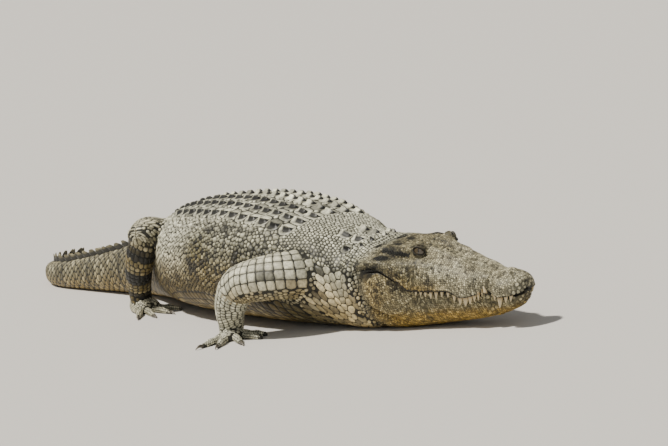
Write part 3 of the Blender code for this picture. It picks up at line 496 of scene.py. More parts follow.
def limb_grid(limb_rows, side, shift, low, rounded):
    """Rings of points along a limb, by a curve through its middle points."""
    middles = np.array([(x + shift, -side * y, z * (low if z > ANKLE_HEIGHT else 1.0))
                        for (x, y, z), _, _ in limb_rows])
    sizes = np.array([row[1:] for row in limb_rows])
    count = len(middles)

    def at(t):
        place = np.clip(t, 0.0, 1.0) * (count - 1)
        i = np.minimum(place.astype(int), count - 2)
        f = (place - i)[:, None]
        p = [middles[np.clip(i + k, 0, count - 1)] for k in (-1, 0, 1, 2)]
        bend = (2 * p[0] - 5 * p[1] + 4 * p[2] - p[3]) * f ** 2 + (3 * p[1] - p[0] - 3 * p[2] + p[3]) * f ** 3
        return 0.5 * (2 * p[1] + (p[2] - p[0]) * f + bend), sizes[i] + (sizes[i + 1] - sizes[i]) * f

    t = np.linspace(0.0, 1.0, LIMB_RINGS)
    ahead, share = np.zeros(LIMB_RINGS), np.ones(LIMB_RINGS)
    if rounded:
        t = np.concatenate([t, np.ones(len(ROUND_END))])
        ahead = np.concatenate([ahead, [row[0] for row in ROUND_END]])
        share = np.concatenate([share, [row[1] for row in ROUND_END]])
    middle, size = at(t)
    axis = unit(at(np.minimum(t + 0.02, 1.0))[0] - at(np.maximum(t - 0.02, 0.0))[0])
    across = unit(np.cross(axis, (1.0, 0.0, 0.0)))
    fore = np.cross(across, axis)
    middle = middle + axis * (ahead * size[:, 1])[:, None]
    size = (size - COAT) * share[:, None]
    angle = angles_round(LIMB_POINTS)[None, :, None]
    grid = middle[:, None] + across[:, None] * size[:, None, :1] * np.cos(angle)
    grid = grid + fore[:, None] * size[:, None, 1:] * np.sin(angle)
    grid[..., 2] = np.maximum(grid[..., 2], LOWEST_LIMB)
    return grid + origin


def rings_about(middles, aside, wide, high):
    """Rings of points about middles: so far to the side and so high over them."""
    return middles[:, None, :] + aside * wide[..., None] + UP * high[..., None]


def paw_grids(side, shift, plan, toes):
    """Rings of the pad and of each toe, heel first, flat on the floor."""
    (heel_x, heel_y), turn, length, half_width, half_height = plan
    turn = math.radians(-side * turn)
    ahead = np.array([math.cos(turn), math.sin(turn), 0.0])
    left = np.array([-math.sin(turn), math.cos(turn), 0.0])
    heel = origin + (heel_x + shift, -side * heel_y, 0.0)
    f = np.concatenate([[0.0, 0.02], np.linspace(0.05, 0.95, 17), [0.98, 1.0]])[:, None]
    bulge = np.sqrt(np.maximum(1.0 - (2.0 * f - 1.0) ** 4, 0.04))
    wide = (half_width * (0.85 + 0.25 * f) - COAT) * bulge
    tall = 2.0 * (half_height * (0.75 + 0.25 * bulge) * (1.0 - 0.35 * f)) - COAT
    angle = angles_round(PAD_POINTS)[None, :]
    high = np.maximum(tall * (0.35 + 0.65 * np.sin(angle)), LOWEST_PAD)
    grids = [rings_about(heel + ahead * (length * f), left, wide * np.cos(angle), high)]
    lines = []
    for spread, reach in toes:
        swing = math.radians(-side * spread)
        fan = math.radians(max(min(spread * 1.3, 90.0), -90.0))
        root = heel + ahead * length * 0.62 + left * side * half_width * 0.8 * math.sin(fan)
        along_toe = ahead * math.cos(swing) - left * math.sin(swing)
        over_toe = left * math.cos(swing) + ahead * math.sin(swing)
        tip = root + along_toe * (reach + length * 0.2)
        t = np.concatenate([np.linspace(0.0, 0.94, 26), [0.97, 0.99, 1.0]])[:, None]
        radius = TOE_ROOT + (TOE_TIP - TOE_ROOT) * t - 0.4 * COAT
        radius = radius * (1.0 + 0.09 * np.sin(t * 4.0 * math.pi))
        radius = radius * (1.0 + 0.035 * np.sin(t * 26.0 * math.pi))
        radius = radius * np.sqrt(np.clip(1.0 - ((t - 0.93) / 0.08).clip(0.0, 0.98) ** 2, 0.0, 1.0))
        angle = angles_round(TOE_POINTS)[None, :]
        high = np.maximum(radius * (1.0 + np.sin(angle)), LOWEST_PAD)
        grids.append(rings_about(root + (tip - root) * t, over_toe, radius * np.cos(angle), high))
        lines.append((root, along_toe, over_toe, tip))
    return grids, lines


def keep_result(piece):
    """Keeps what the modifiers make of a piece as its plain mesh."""
    graph = bpy.context.evaluated_depsgraph_get()
    made = bpy.data.meshes.new_from_object(piece.evaluated_get(graph))
    piece.modifiers.clear()
    piece.data = made


def boolean(piece, other, operation):
    """Join or cut a piece by another, which is used up."""
    change = piece.modifiers.new("shape", "BOOLEAN")
    change.operation, change.object, change.solver = operation, other, "MANIFOLD"
    keep_result(piece)
    bpy.data.objects.remove(other, do_unlink=True)


# The opening between the lids is cut through the dome, and a thick rim of hide runs round it
LID_POINTS, RIM_POINTS = 56, 10
OPENING = ((0.004, 0.95), (0.014, 0.97), (0.022, 1.0), (0.03, 1.04), (0.04, 1.3))     # depth, size
RIMS = (
    # size against the opening, thickness, how far it is lifted, 1 if only over the eye
    (1.07, 0.0021, 0.0002, 0.0), (1.5, 0.0024, -0.0006, 1.0),
)


def almond(wide):
    """Points round the opening of an eye, wide times its size, across its two axes."""
    angle = angles_round(LID_POINTS)
    high = np.abs(np.sin(angle)) ** 1.25 * np.sign(np.sin(angle))
    return ALMOND_LONG * wide * np.cos(angle), ALMOND_HIGH * wide * high


def on_ball(side, a, b, radius):
    """Points over an eye, in the frame, at places across its axes and a distance from its middle."""
    gaze, ahead, lift = eye_axes(side)
    depth = np.sqrt(np.maximum(radius ** 2 - a ** 2 - b ** 2, 1e-6))
    return stand(eye_middle(side) + depth[..., None] * gaze + a[..., None] * ahead + b[..., None] * lift)


for side in (1.0, -1.0):
    gaze, ahead, lift = eye_axes(side)
    rings = []
    for depth, wide in OPENING:
        a, b = almond(wide)
        rings.append(stand(eye_middle(side) + depth * gaze + a[:, None] * ahead + b[:, None] * lift))
    boolean(skin, tube("eye_opening", np.array(rings)), "DIFFERENCE")
    angle, turn = angles_round(LID_POINTS), angles_round(RIM_POINTS)
    for wide, thick, lifted, upper_only in RIMS:
        a, b = almond(wide)
        b = b * (1.0 + 0.25 * upper_only)
        middle = on_ball(side, a, b, EYE_RADIUS + LID + lifted)
        normal = unit(on_ball(side, a * 1.001, b * 1.001, EYE_RADIUS + LID + 0.002) - middle)
        along_rim = unit(np.roll(middle, -1, axis=0) - np.roll(middle, 1, axis=0))
        sideways_rim = np.cross(along_rim, normal)
        size = thick * (1.0 - upper_only * ease(0.35, -0.25, np.sin(angle)) * 0.85)
        ring = (middle[:, None] + normal[:, None] * (size[:, None] * np.cos(turn))[..., None]
                + sideways_rim[:, None] * (size[:, None] * np.sin(turn))[..., None])
        first_ring = grid_faces(2, RIM_POINTS)
        faces = [[(k + RIM_POINTS * row) % (LID_POINTS * RIM_POINTS) for k in face]
                 for row in range(LID_POINTS) for face in first_ring]
        boolean(skin, closed_mesh("rim", ring.reshape(-1, 3), faces), "UNION")

limb_charts, toe_lines = {}, {}
for side, word in ((1.0, "left"), (-1.0, "right")):
    left = side > 0.0
    for label, upper_rows, lower_rows, shift, low, plan, toes in (
            ("arm", UPPER_ARM, FOREARM, LEFT_ARM_BACK if left else 0.0, LEFT_ARM_LOW if left else 1.0,
             HAND, FINGERS),
            ("leg", THIGH, SHANK, LEFT_LEG_BACK if left else 0.0, 1.0, FOOT, TOES)):
        upper = limb_grid(upper_rows, side, shift, low, True)
        lower = limb_grid(lower_rows, side, shift, low, False)
        paw, lines = paw_grids(side, shift, plan, toes)
        name = f"{label}_{word}"
        limb_charts[name] = (upper, lower, *paw)
        toe_lines[name] = lines
        limb = tube(name + "_skin", upper)
        for number, grid in enumerate((lower, *paw)):
            boolean(limb, tube(f"{name}_{number}", grid), "UNION")
        boolean(skin, limb, "UNION")


# Where a leg meets the trunk the crease is softened, as loose hide hangs there
RELAX_REACH, RELAX_ROUNDS, RELAX_SHARE = 0.03, 14, 0.6
SHARP_CREASE, OFF_FLOOR, BEHIND_HEAD = 0.55, 0.035, 0.76


def tree_of(spots):
    """A tree that finds the nearest of some points."""
    made = kdtree.KDTree(max(len(spots), 1))
    for number, spot in enumerate(spots):
        made.insert(spot, number)
    made.balance()
    return made


work = bmesh.new()
work.from_mesh(skin.data)
sharp = []
for edge in work.edges:
    if len(edge.link_faces) == 2 and edge.calc_face_angle(0.0) > SHARP_CREASE:
        spot = (edge.verts[0].co + edge.verts[1].co) / 2.0
        if spot.z > OFF_FLOOR and spot.x < origin[0] + BEHIND_HEAD:
            sharp.append(spot)
sharp_tree = tree_of(sharp)
loose = []
for vert in work.verts:
    distance = sharp_tree.find(vert.co)[2]
    if distance is not None and distance < RELAX_REACH:
        loose.append((vert, 1.0 - distance / RELAX_REACH))
for _ in range(RELAX_ROUNDS):
    moved = []
    for vert, share in loose:
        middle = sum((edge.other_vert(vert).co for edge in vert.link_edges), Vector()) / len(vert.link_edges)
        moved.append(vert.co.lerp(middle, RELAX_SHARE * share))
    for (vert, _), spot in zip(loose, moved):
        vert.co = spot
work.to_mesh(skin.data)
work.free()


# Charts of the hide, for whatever grows on it: a place along, a distance round from the middle line.
# Kinds of hide, as the paint reads them: the trunk, an arm, a leg, the upper face, the lower jaw.
TRUNK_HIDE, ARM_HIDE, LEG_HIDE, FACE_HIDE, JAW_HIDE = 0.0, 1.0, 2.0, 3.0, 4.0


def chart(grid, at, count, kind):
    """A map of rings of the skin: their stations, points, normals and how far round they are."""
    even, length = even_rings(grid, count)
    normal = outward(even[:, :-1])
    return {"at": np.asarray(at), "grid": even, "girth": length[:, -1], "kind": kind,
            "normal": np.concatenate([normal, normal[:, :1]], axis=1)}


def on_chart(sheet, u, v):
    """Points and normals of a chart at places along and distances round from its middle line."""
    grid, at = sheet["grid"], sheet["at"]
    order = 1.0 if at[-1] > at[0] else -1.0
    i = np.clip(np.interp(u * order, at * order, np.arange(len(at))), 0.0, len(at) - 1.001)
    girth = np.interp(u * order, at * order, sheet["girth"])
    j = np.clip((v / girth + 0.5) * (grid.shape[1] - 1), 0.0, grid.shape[1] - 1.001)
    i0, j0 = i.astype(int), j.astype(int)
    fi, fj = (i - i0)[:, None], (j - j0)[:, None]

    def blend(table):
        near = table[i0, j0] * (1 - fj) + table[i0, j0 + 1] * fj
        return near * (1 - fi) + (table[i0 + 1, j0] * (1 - fj) + table[i0 + 1, j0 + 1] * fj) * fi

    normal = blend(sheet["normal"])
    return blend(grid), normal / np.linalg.norm(normal, axis=1, keepdims=True), girth


body_chart = chart(body, rows, 260, TRUNK_HIDE)
ring_length = even_rings(body, 4)[1]
lip_arc = np.abs(ring_length[:, lip_left] - ring_length[:, -1] / 2.0)
jaw_arc = np.abs(ring_length[:, jaw_left] - ring_length[:, -1] / 2.0)


def at_rows(table, station):
    """A length measured at every row of the body, read at any station."""
    return np.interp(-station, -rows, table)


def limb_chart(grid, kind):
    """A map of one length of a leg, whose stations count from its root."""
    steps = np.linalg.norm(np.diff(grid, axis=0), axis=2).mean(axis=1)
    return chart(grid, np.concatenate([[0.0], np.cumsum(steps)]), 48, kind)


charts = {"body": [body_chart]}
for name, grids in limb_charts.items():
    charts[name] = [limb_chart(grid, ARM_HIDE if name.startswith("arm") else LEG_HIDE) for grid in grids]


def height_of(u, spots):
    """Height over the line the head is measured from, before the head is rolled."""
    turn, roll = heading(u), HEAD_ROLL * ease(NECK_FROM, NECK_AT, u)
    aside_x = spots[:, 0] - np.interp(u, LINE_AT, LINE[:, 0])
    aside_y = spots[:, 1] - np.interp(u, LINE_AT, LINE[:, 1])
    rolled_out = np.cos(turn) * aside_y - np.sin(turn) * aside_x
    return (spots[:, 2] - DATUM) * np.cos(roll) - rolled_out * np.sin(roll)


def over_the_back(sheet, u, v):
    """How far round from the middle of the back to the middle of the belly, 0 to 1."""
    order = 1.0 if sheet["at"][-1] > sheet["at"][0] else -1.0
    if sheet["kind"] == TRUNK_HIDE:
        return np.abs(v) / np.interp(u * order, sheet["at"] * order, sheet["girth"]) * 2.0
    return 0.5 - 0.5 * on_chart(sheet, u, v)[1][:, 2]


# Markings and painted light, by place on the animal: how tan, how dark and how pale. Skin and scales read the
# same.
# A share counts round from the middle of the back, at 0, to the middle of the belly, at 1.
CREST_FRONT, CREST_PITCH = -0.72, 0.06     # where the tail's crest starts, and how far apart its whorls are
FACE_STARTS = 0.84                          # station from which the hide is painted as the face's
SLIT_LINE, CHEEK_LINE = SIDE_FOLDS[0][0], SIDE_FOLDS[2][0]
CREASE_LINE = ((0.0, 0.056), (0.03, 0.06), (0.07, 0.071))
PIT_AT, PIT_OUT = -0.006, 0.054


def between(value, start, full, fading, end):
    """1 between full and fading, running out to 0 at start and at end."""
    return ease(start, full, value) * ease(end, fading, value)


def body_markings_and_painted_light(sheet, u, v, share):
    """Markings, painted highlights and painted shade of the trunk, neck, head and tail, and which kind of
    hide each place has.
    """
    tan, dark, pale = np.zeros(len(u)), np.zeros(len(u)), np.zeros(len(u))
    side_up = height_of(u, on_chart(sheet, u, v)[0])
    height, forward, arc = side_up + DATUM, u - HEAD_AT, np.abs(v)
    head = ease(0.8, 0.9, u)
    jaw = (arc > at_rows((lip_arc + jaw_arc) / 2.0, u)) * ease(FACE_STARTS, 0.88, u)
    kind = np.where(jaw > 0.5, JAW_HIDE, np.where(u > FACE_STARTS, FACE_HIDE, TRUNK_HIDE))
    face = head * (1.0 - jaw)
    lip_gap = at_rows(lip_arc, u) - arc
    # the face: a sandy lip, a pale cheek and snout, a sandy jaw that is palest low down; the paler top of the
    # face and snout and the pale line on the cheek ridge are painted highlight
    tan += face * ease(0.045, 0.004, lip_gap) * 0.5 * between(forward, 0.09, 0.16, 0.22, 0.33)
    tan += jaw * (0.24 + 0.9 * ease(0.09, 0.045, height)) * ease(0.02, 0.1, forward)
    tan += 0.55 * jaw * ease(0.12, 0.02, forward)
    tan += face * 0.2
    pale += 0.22 * jaw * ease(0.045, 0.085, height)
    # painted highlight: paler over the top of the face and towards the snout, and along the cheek ridge
    pale += face * (0.08 + 0.12 * ease(0.06, 0.1, side_up) + 0.46 * ease(0.14, 0.3, forward))
    pale += face * 0.16 * np.exp(-(from_line(forward, side_up, CHEEK_LINE) / 0.013) ** 2)
    dark += face * 0.25 * ease(0.26, 0.16, forward)
    # the neck and trunk: olive over the back, bone on the flank, sand towards the belly; the pale band high
    # on the flank is painted highlight and the dark band low on the flank is painted shade
    trunk, tail = 1.0 - head, ease(-0.75, -1.0, u)
    tan += ease(0.52, 0.68, u) * trunk * ease(0.36, 0.55, share) * 0.6
    tan += (1.0 - tail) * (1.0 - ease(0.45, 0.6, u)) * ease(0.34, 0.66, share) * 0.65
    # painted highlight: a pale band along the upper flank, strongest behind the middle of the trunk, as a wet
    # sheen
    pale += 0.9 * between(share, 0.26, 0.32, 0.46, 0.58) * ease(0.06, -0.16, u) * (u > CREST_FRONT)
    pale += 0.25 * between(share, 0.3, 0.36, 0.44, 0.5) * between(u, 0.1, 0.2, 0.5, 0.62)
    pale += 0.42 * ease(0.5, 0.58, u) * trunk * between(share, 0.3, 0.37, 0.58, 0.68)
    pale += 0.24 * trunk * ease(0.58, 0.64, u) * between(share, 0.36, 0.44, 0.76, 0.84)
    pale += trunk * ease(0.42, 0.18, share) * (1.0 - 0.8 * tail)
    # painted shade: a dark band low on the flank, where the trunk turns under towards the floor
    dark += 0.55 * (1.0 - tail) * (1.0 - ease(0.45, 0.6, u)) * between(share, 0.46, 0.58, 0.66, 0.8)
    # painted shade in the hollows of the head: behind its back edge and in the two pits, in the ear slit and
    # the crease, and along the crack of the lips
    dark += np.exp(-((forward + 0.022) / 0.022) ** 2 - (arc / 0.05) ** 2) * 0.6
    dark += np.exp(-((forward - PIT_AT) / 0.016) ** 4 - ((arc - PIT_OUT) / 0.026) ** 4)
    dark += face * 1.2 * np.exp(-(from_line(forward, side_up, SLIT_LINE) / 0.0075) ** 4)
    dark += face * 0.8 * np.exp(-(from_line(forward, side_up, CREASE_LINE) / 0.0065) ** 2)
    dark += face * 0.95 * ease(0.008, 0.002, lip_gap)
    dark += jaw * ease(0.0, 0.03, forward) * 0.9 * ease(0.009, 0.002, arc - at_rows(jaw_arc, u))
    # the tail: broad dark bands, a dark line behind each whorl, sand below
    dark += tail * ease(0.15, 0.9, np.sin(u * 23.0 + 0.5)) * 0.36 * ease(0.9, 0.5, share)
    dark += tail * 0.42 * ease(0.35, 0.75, np.cos((u - CREST_FRONT) * 2.0 * math.pi / CREST_PITCH + 1.0))
    pale += 0.22 * tail * ease(0.1, 0.3, share)
    tan += 0.18 * tail + 0.55 * tail * ease(0.4, 0.75, share)
    return tan, dark, pale, kind


def arm_markings(number, along, share):
    """Markings of an arm: a banded upper length over a pale forearm and hand."""
    tan = (0.08 + ease(0.5, 0.7, share) * 0.38) * (1.0, 0.15, 0.1)[min(number, 2)]
    if number:
        return tan, 0.0 * along, 0.95 + 0.0 * along
    dark = 0.6 * ease(0.1, 0.6, np.sin(along * 17.0 + 1.1)) * between(share, 0.28, 0.34, 0.44, 0.5)
    return tan, dark, 0.3 + ease(1.0, 0.5, share) * 0.65


def leg_markings(number, along, share):
    """Markings of a hind leg: a pale thigh, a banded shank and a pale foot."""
    if number == 0:
        return 0.15 + 0.0 * along, 0.0 * along, 0.9 * ease(0.8, 0.35, share)
    if number > 1:
        return 0.15 + 0.0 * along, 0.0 * along, 0.95 + 0.0 * along
    dark = 0.9 * ease(-0.4, 0.3, np.sin(along * 15.0 + 0.4)) * between(along, 0.04, 0.12, 0.8, 0.98)
    dark += 0.2 * ease(0.06, 0.22, along)
    return 0.4 + 0.0 * along, dark, 0.5 * ease(0.1, 0.03, along)


def markings_and_painted_light(sheet, number, u, v):
    """Tan, dark and pale at places on a chart, how far round each is, and its kind of hide."""
    share = over_the_back(sheet, u, v)
    if sheet["kind"] == TRUNK_HIDE:
        tan, dark, pale, kind = body_markings_and_painted_light(sheet, u, v, share)
    else:
        banded = arm_markings if sheet["kind"] == ARM_HIDE else leg_markings
        tan, dark, pale = banded(number, u / sheet["at"][-1], share)
        kind = np.full(len(u), sheet["kind"])
    return np.stack([tan.clip(0, 1), dark.clip(0, 1), pale.clip(0, 1)], axis=1), share, kind


def set_numbers(mesh, name, values, domain="POINT"):
    """A named number or vector on each point or face of a mesh."""
    values = np.asarray(values, dtype=np.float32)
    kind = "FLOAT" if values.ndim == 1 else "FLOAT_VECTOR"
    layer = mesh.attributes.get(name) or mesh.attributes.new(name, kind, domain)
    layer.data.foreach_set("value" if values.ndim == 1 else "vector", values.ravel())


def get_numbers(mesh, name):
    """The numbers or vectors that a mesh holds under a name."""
    layer = mesh.attributes[name]
    wide = 1 if layer.data_type == "FLOAT" else 3
    values = np.empty(len(layer.data) * wide, dtype=np.float32)
    layer.data.foreach_get("value" if wide == 1 else "vector", values)
    return values if wide == 1 else values.reshape(-1, 3)


def points_of(mesh):
    """All points of a mesh."""
    return get_numbers(mesh, "position").astype(float)


# The skin reads its markings and painted light from the nearest place on the charts
near_spots, near_tint, near_lay = [], [], []
for name, sheets in charts.items():
    for number, sheet in enumerate(sheets):
        grid = sheet["grid"][::2, :-1:2]
        r, c = np.meshgrid(np.arange(0, len(sheet["at"]), 2), np.arange(0, sheet["grid"].shape[1] - 1, 2),
                           indexing="ij")
        u = sheet["at"][r.ravel()]
        v = (c.ravel() / (sheet["grid"].shape[1] - 1) - 0.5) * sheet["girth"][r.ravel()]
        tint, share, kind = markings_and_painted_light(sheet, number, u, v)
        near_spots.append(grid.reshape(-1, 3))
        near_tint.append(tint)
        near_lay.append(np.stack([u, share, kind], axis=1))
near_spots, near_tint, near_lay = (np.concatenate(rows_) for rows_ in (near_spots, near_tint, near_lay))
place_tree = tree_of(near_spots)


def nearest_number(spot):
    """Which place of the charts is nearest to a spot."""
    return place_tree.find(spot)[1]


def smooth_over(piece):
    """Rounds the look of a piece's faces."""
    piece.data.polygons.foreach_set("use_smooth", np.ones(len(piece.data.polygons), dtype=bool))


# painted shade round the eyes: how near and how far it reaches, and how dark it is
LID_NEAR, LID_FAR, LID_SHADE = 0.028, 0.034, 0.96
nearest = [nearest_number(vert.co) for vert in skin.data.vertices]
tint_here, skin_points = near_tint[nearest].copy(), points_of(skin.data)
for side in (1.0, -1.0):
    centre = stand(eye_middle(side))
    axes = unit(np.array([stand(eye_middle(side) + axis * 0.01) - centre for axis in eye_axes(side)]))
    deep, along_lids, over_lids = [(skin_points - centre) @ axis for axis in axes]
    lid = np.hypot(along_lids / ALMOND_LONG, over_lids / ALMOND_HIGH)
    close = ease(LID_FAR, LID_NEAR, np.linalg.norm(skin_points - centre, axis=1)) * (deep > 0.0)
    # painted shade at the edge of the lids and over the upper lid
    lid_shade = np.maximum(ease(1.2, 1.08, lid), 0.45 * ease(1.9, 1.4, lid) * (over_lids > 0.0))
    tint_here[:, 1] = np.maximum(tint_here[:, 1] * (1.0 - close), LID_SHADE * close * lid_shade)
set_numbers(skin.data, "tint", tint_here)
set_numbers(skin.data, "lay", near_lay[nearest])
set_numbers(skin.data, "tone", np.full(len(nearest), 0.5))
# painted shade: the skin shows in the grooves between the scales and is drawn dark there, a little less on
# the bare face
bare = ease(0.8, 0.86, near_lay[nearest][:, 0]) * (near_lay[nearest][:, 2] >= FACE_HIDE)
set_numbers(skin.data, "edge", 1.0 - 0.3 * bare)
set_numbers(skin.data, "home", skin_points)
smooth_over(skin)


# One paint for the whole animal, as a group that every hide and scale material uses.
paint = bpy.data.node_groups.new("hide_paint", "ShaderNodeTree")
for label, kind in (("Color", "NodeSocketColor"), ("Roughness", "NodeSocketFloat"),
                    ("Height", "NodeSocketFloat")):
    paint.interface.new_socket(label, in_out="OUTPUT", socket_type=kind)
for label in ("Grooves", "Blotches", "Unevenness", "Freckles"):
    paint.interface.new_socket(label, in_out="INPUT", socket_type="NodeSocketFloat")


def add_node(tree, kind, inputs=None, **settings):
    """A node with its settings, and its inputs given by name or number as values or sockets."""
    node = tree.nodes.new(kind)
    for key, value in settings.items():
        setattr(node, key, value)
    for key, value in (inputs or {}).items():
        if isinstance(value, bpy.types.NodeSocket):
            tree.links.new(value, node.inputs[key])
        else:
            node.inputs[key].default_value = value
    return node


def stored(tree, name, output="Vector"):
    """What the mesh holds under a name, as a vector or a number."""
    return add_node(tree, "ShaderNodeAttribute", attribute_name=name).outputs[output]


def tree_with(*values):
    """The tree that the first socket among some values belongs to."""
    return next(value.id_data for value in values if isinstance(value, bpy.types.NodeSocket))


def math_node(operation, *values):
    """One sum of numbers or sockets."""
    node = add_node(tree_with(*values), "ShaderNodeMath", dict(enumerate(values)), operation=operation)
    return node.outputs[0]


def split(vector):
    """The three numbers of a vector."""
    return add_node(tree_with(vector), "ShaderNodeSeparateXYZ", {0: vector}).outputs


def times(first, second):
    """Two numbers or sockets multiplied."""
    return math_node("MULTIPLY", first, second)


MIX_FACTOR, MIX_FIRST, MIX_SECOND, MIX_RESULT = 0, 6, 7, 2     # where a colour mix has its sockets


def mix_colour(factor, first, second, blend="MIX"):
    """Two colours mixed, the second over the first."""
    tree = tree_with(factor, first, second)
    node = add_node(tree, "ShaderNodeMix", data_type="RGBA", blend_type=blend)
    for place, value in ((MIX_FACTOR, factor), (MIX_FIRST, first), (MIX_SECOND, second)):
        if isinstance(value, bpy.types.NodeSocket):
            tree.links.new(value, node.inputs[place])
        else:
            node.inputs[place].default_value = value
    return node.outputs[MIX_RESULT]


def ramp(value, start, end, low=0.0, high=1.0):
    """From low to high as a value goes from start to end, smoothly."""
    node = add_node(tree_with(value), "ShaderNodeMapRange", {0: value, 1: start, 2: end, 3: low, 4: high},
                    interpolation_type="SMOOTHSTEP")
    return node.outputs[0]


def noise(place, scale, detail=2.0, rough=0.5):
    """Cloudy unevenness, so many clouds to the metre."""
    return add_node(tree_with(place), "ShaderNodeTexNoise",
                    {"Vector": place, "Scale": scale, "Detail": detail, "Roughness": rough}).outputs["Fac"]


paint_in = paint.nodes.new("NodeGroupInput").outputs
place = add_node(paint, "ShaderNodeTexCoord").outputs["Object"]
share_round = split(stored(paint, "lay"))[1]
tanned, darkened, paled = split(stored(paint, "tint"))
tone, edge, mark_and_shade = (stored(paint, name, "Fac") for name in ("tone", "edge", "mark_and_shade"))
home = stored(paint, "home")
cloud = noise(place, 7.5, 3.0, 0.6)
speck = noise(place, 95.0, 4.0, 0.65)
grain = noise(place, 420.0, 3.0, 0.6)
blot = noise(home, 17.0, 3.0, 0.6)
fine_blot = noise(home, 46.0, 2.0, 0.55)
wet = noise(place, 3.2, 2.0)


def grey(value):
    """A grey of a given lightness."""
    return add_node(tree_with(value), "ShaderNodeCombineColor", {0: value, 1: value, 2: value}).outputs[0]


olive, bone = (0.13, 0.118, 0.058, 1.0), (0.6, 0.588, 0.455, 1.0)
sand, ink_and_shade, ochre = (0.385, 0.252, 0.06, 1.0), (0.013, 0.013, 0.011, 1.0), (0.545, 0.385, 0.12, 1.0)
paleness = times(paled, ramp(cloud, 0.25, 0.6, 0.72, 1.0))
colour = mix_colour(paleness, olive, bone)
sandy = times(tanned, ramp(blot, 0.3, 0.62, 0.5, 1.0))
colour = mix_colour(sandy, colour, sand)
bright = times(ramp(tone, 0.6, 0.95), math_node("MULTIPLY_ADD", tanned, 0.45, 0.25))
bright = times(bright, paint_in["Unevenness"])
colour = mix_colour(bright, colour, mix_colour(tanned, bone, ochre))
open_hide = times(ramp(paled, 1.0, 0.25, 0.22, 1.0), ramp(share_round, 0.5, 0.66, 1.0, 0.3))
blotches = times(ramp(blot, 0.54, 0.62), open_hide)
flecks = times(ramp(fine_blot, 0.56, 0.66), open_hide)
single = times(ramp(tone, 0.12, 0.03), open_hide)
darkness = math_node("MAXIMUM", math_node("MAXIMUM", blotches, flecks), single)
darkness = times(darkness, paint_in["Blotches"])
# the dark share holds real dark markings and also painted shade: in the head's hollows, low on the flank,
# round the eyes, on the keels' fronts and the blades' lower parts
darkness = math_node("MAXIMUM", math_node("MAXIMUM", darkness, darkened), mark_and_shade)
colour = mix_colour(darkness, colour, ink_and_shade)
spread = times(math_node("SUBTRACT", tone, 0.5), paint_in["Unevenness"])
colour = mix_colour(1.0, colour, grey(math_node("ADD", spread, 1.0)), "MULTIPLY")
freckle = times(math_node("SUBTRACT", ramp(speck, 0.32, 0.68), 0.5), paint_in["Freckles"])
colour = mix_colour(1.0, colour, grey(math_node("ADD", freckle, 1.0)), "MULTIPLY")
# painted shade: the grooves between the scales and the foot of each scale are drawn almost black, by the edge
# number
groove_shade = times(math_node("POWER", edge, 1.2), paint_in["Grooves"])
colour = mix_colour(groove_shade, colour, ink_and_shade)
gloss = ramp(wet, 0.35, 0.65, 0.34, 0.52)
gloss = math_node("ADD", gloss, times(grain, 0.12))
high = math_node("MULTIPLY_ADD", speck, 0.7, times(grain, 0.3))
ending = paint.nodes.new("NodeGroupOutput")
for number, value in enumerate((colour, gloss, high)):
    paint.links.new(value, ending.inputs[number])


def new_material(name):
    """A material, its nodes and its shader."""
    made = bpy.data.materials.new(name)
    made.use_nodes = True
    return made, made.node_tree, made.node_tree.nodes["Principled BSDF"]


def colour_and_relief(tree, shader, colour, height, strength, distance):
    """Gives a shader its colour and the fine relief of its surface."""
    relief = add_node(tree, "ShaderNodeBump", {"Strength": strength, "Distance": distance, "Height": height})
    tree.links.new(colour, shader.inputs["Base Color"])
    tree.links.new(relief.outputs[0], shader.inputs["Normal"])


def hide_material(name, bump=0.0012, groove_shade_strength=0.96, blotches=0.95, unevenness=1.05, freckles=0.6, shine=0.38):
    """Hide painted by the shared group, with a fine leathery grain."""
    made, tree, shader = new_material(name)
    group = tree.nodes.new("ShaderNodeGroup")
    group.node_tree = paint
    for label, value in (("Grooves", groove_shade_strength), ("Blotches", blotches), ("Unevenness", unevenness),
                         ("Freckles", freckles)):
        group.inputs[label].default_value = value
    colour_and_relief(tree, shader, group.outputs["Color"], group.outputs["Height"], 0.7, bump)
    tree.links.new(group.outputs["Roughness"], shader.inputs["Roughness"])
    shader.inputs["Specular IOR Level"].default_value = shine
    return made


skin.data.materials.clear()
skin.data.materials.append(hide_material("hide_skin", shine=0.22))
skin.data.polygons.foreach_set("material_index", np.zeros(len(skin.data.polygons), dtype=np.int32))
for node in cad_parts:
    if not node.startswith(("eye", "claw")):
        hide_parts(node)
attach(skin, "root")


# ------------------------ the scales
# Horny plates edge to edge over the hide: rectangles on the belly and in rings round the tail, small
# rounded grains on the flanks, neck, face and feet, with a few keeled ones among them.
# Each grows from its outline on the skin, as far as its neighbours, and sits a little way into it.
SCALE_SINK = 0.001
ROOT_PATCH = 0.0015          # half the size of a scale's patch on the map of the skin
BIG_SCALE, NEIGHBOURS, BIG_NEIGHBOURS = 0.018, 22, 3
OFF_SKIN, CLEAR_OF_FLOOR, LEAST_HEIGHT = 0.006, 0.0009, 0.0012
PLAIN, KEELED, SCUTE, BLADE, TILE = 0, 1, 2, 3, 4
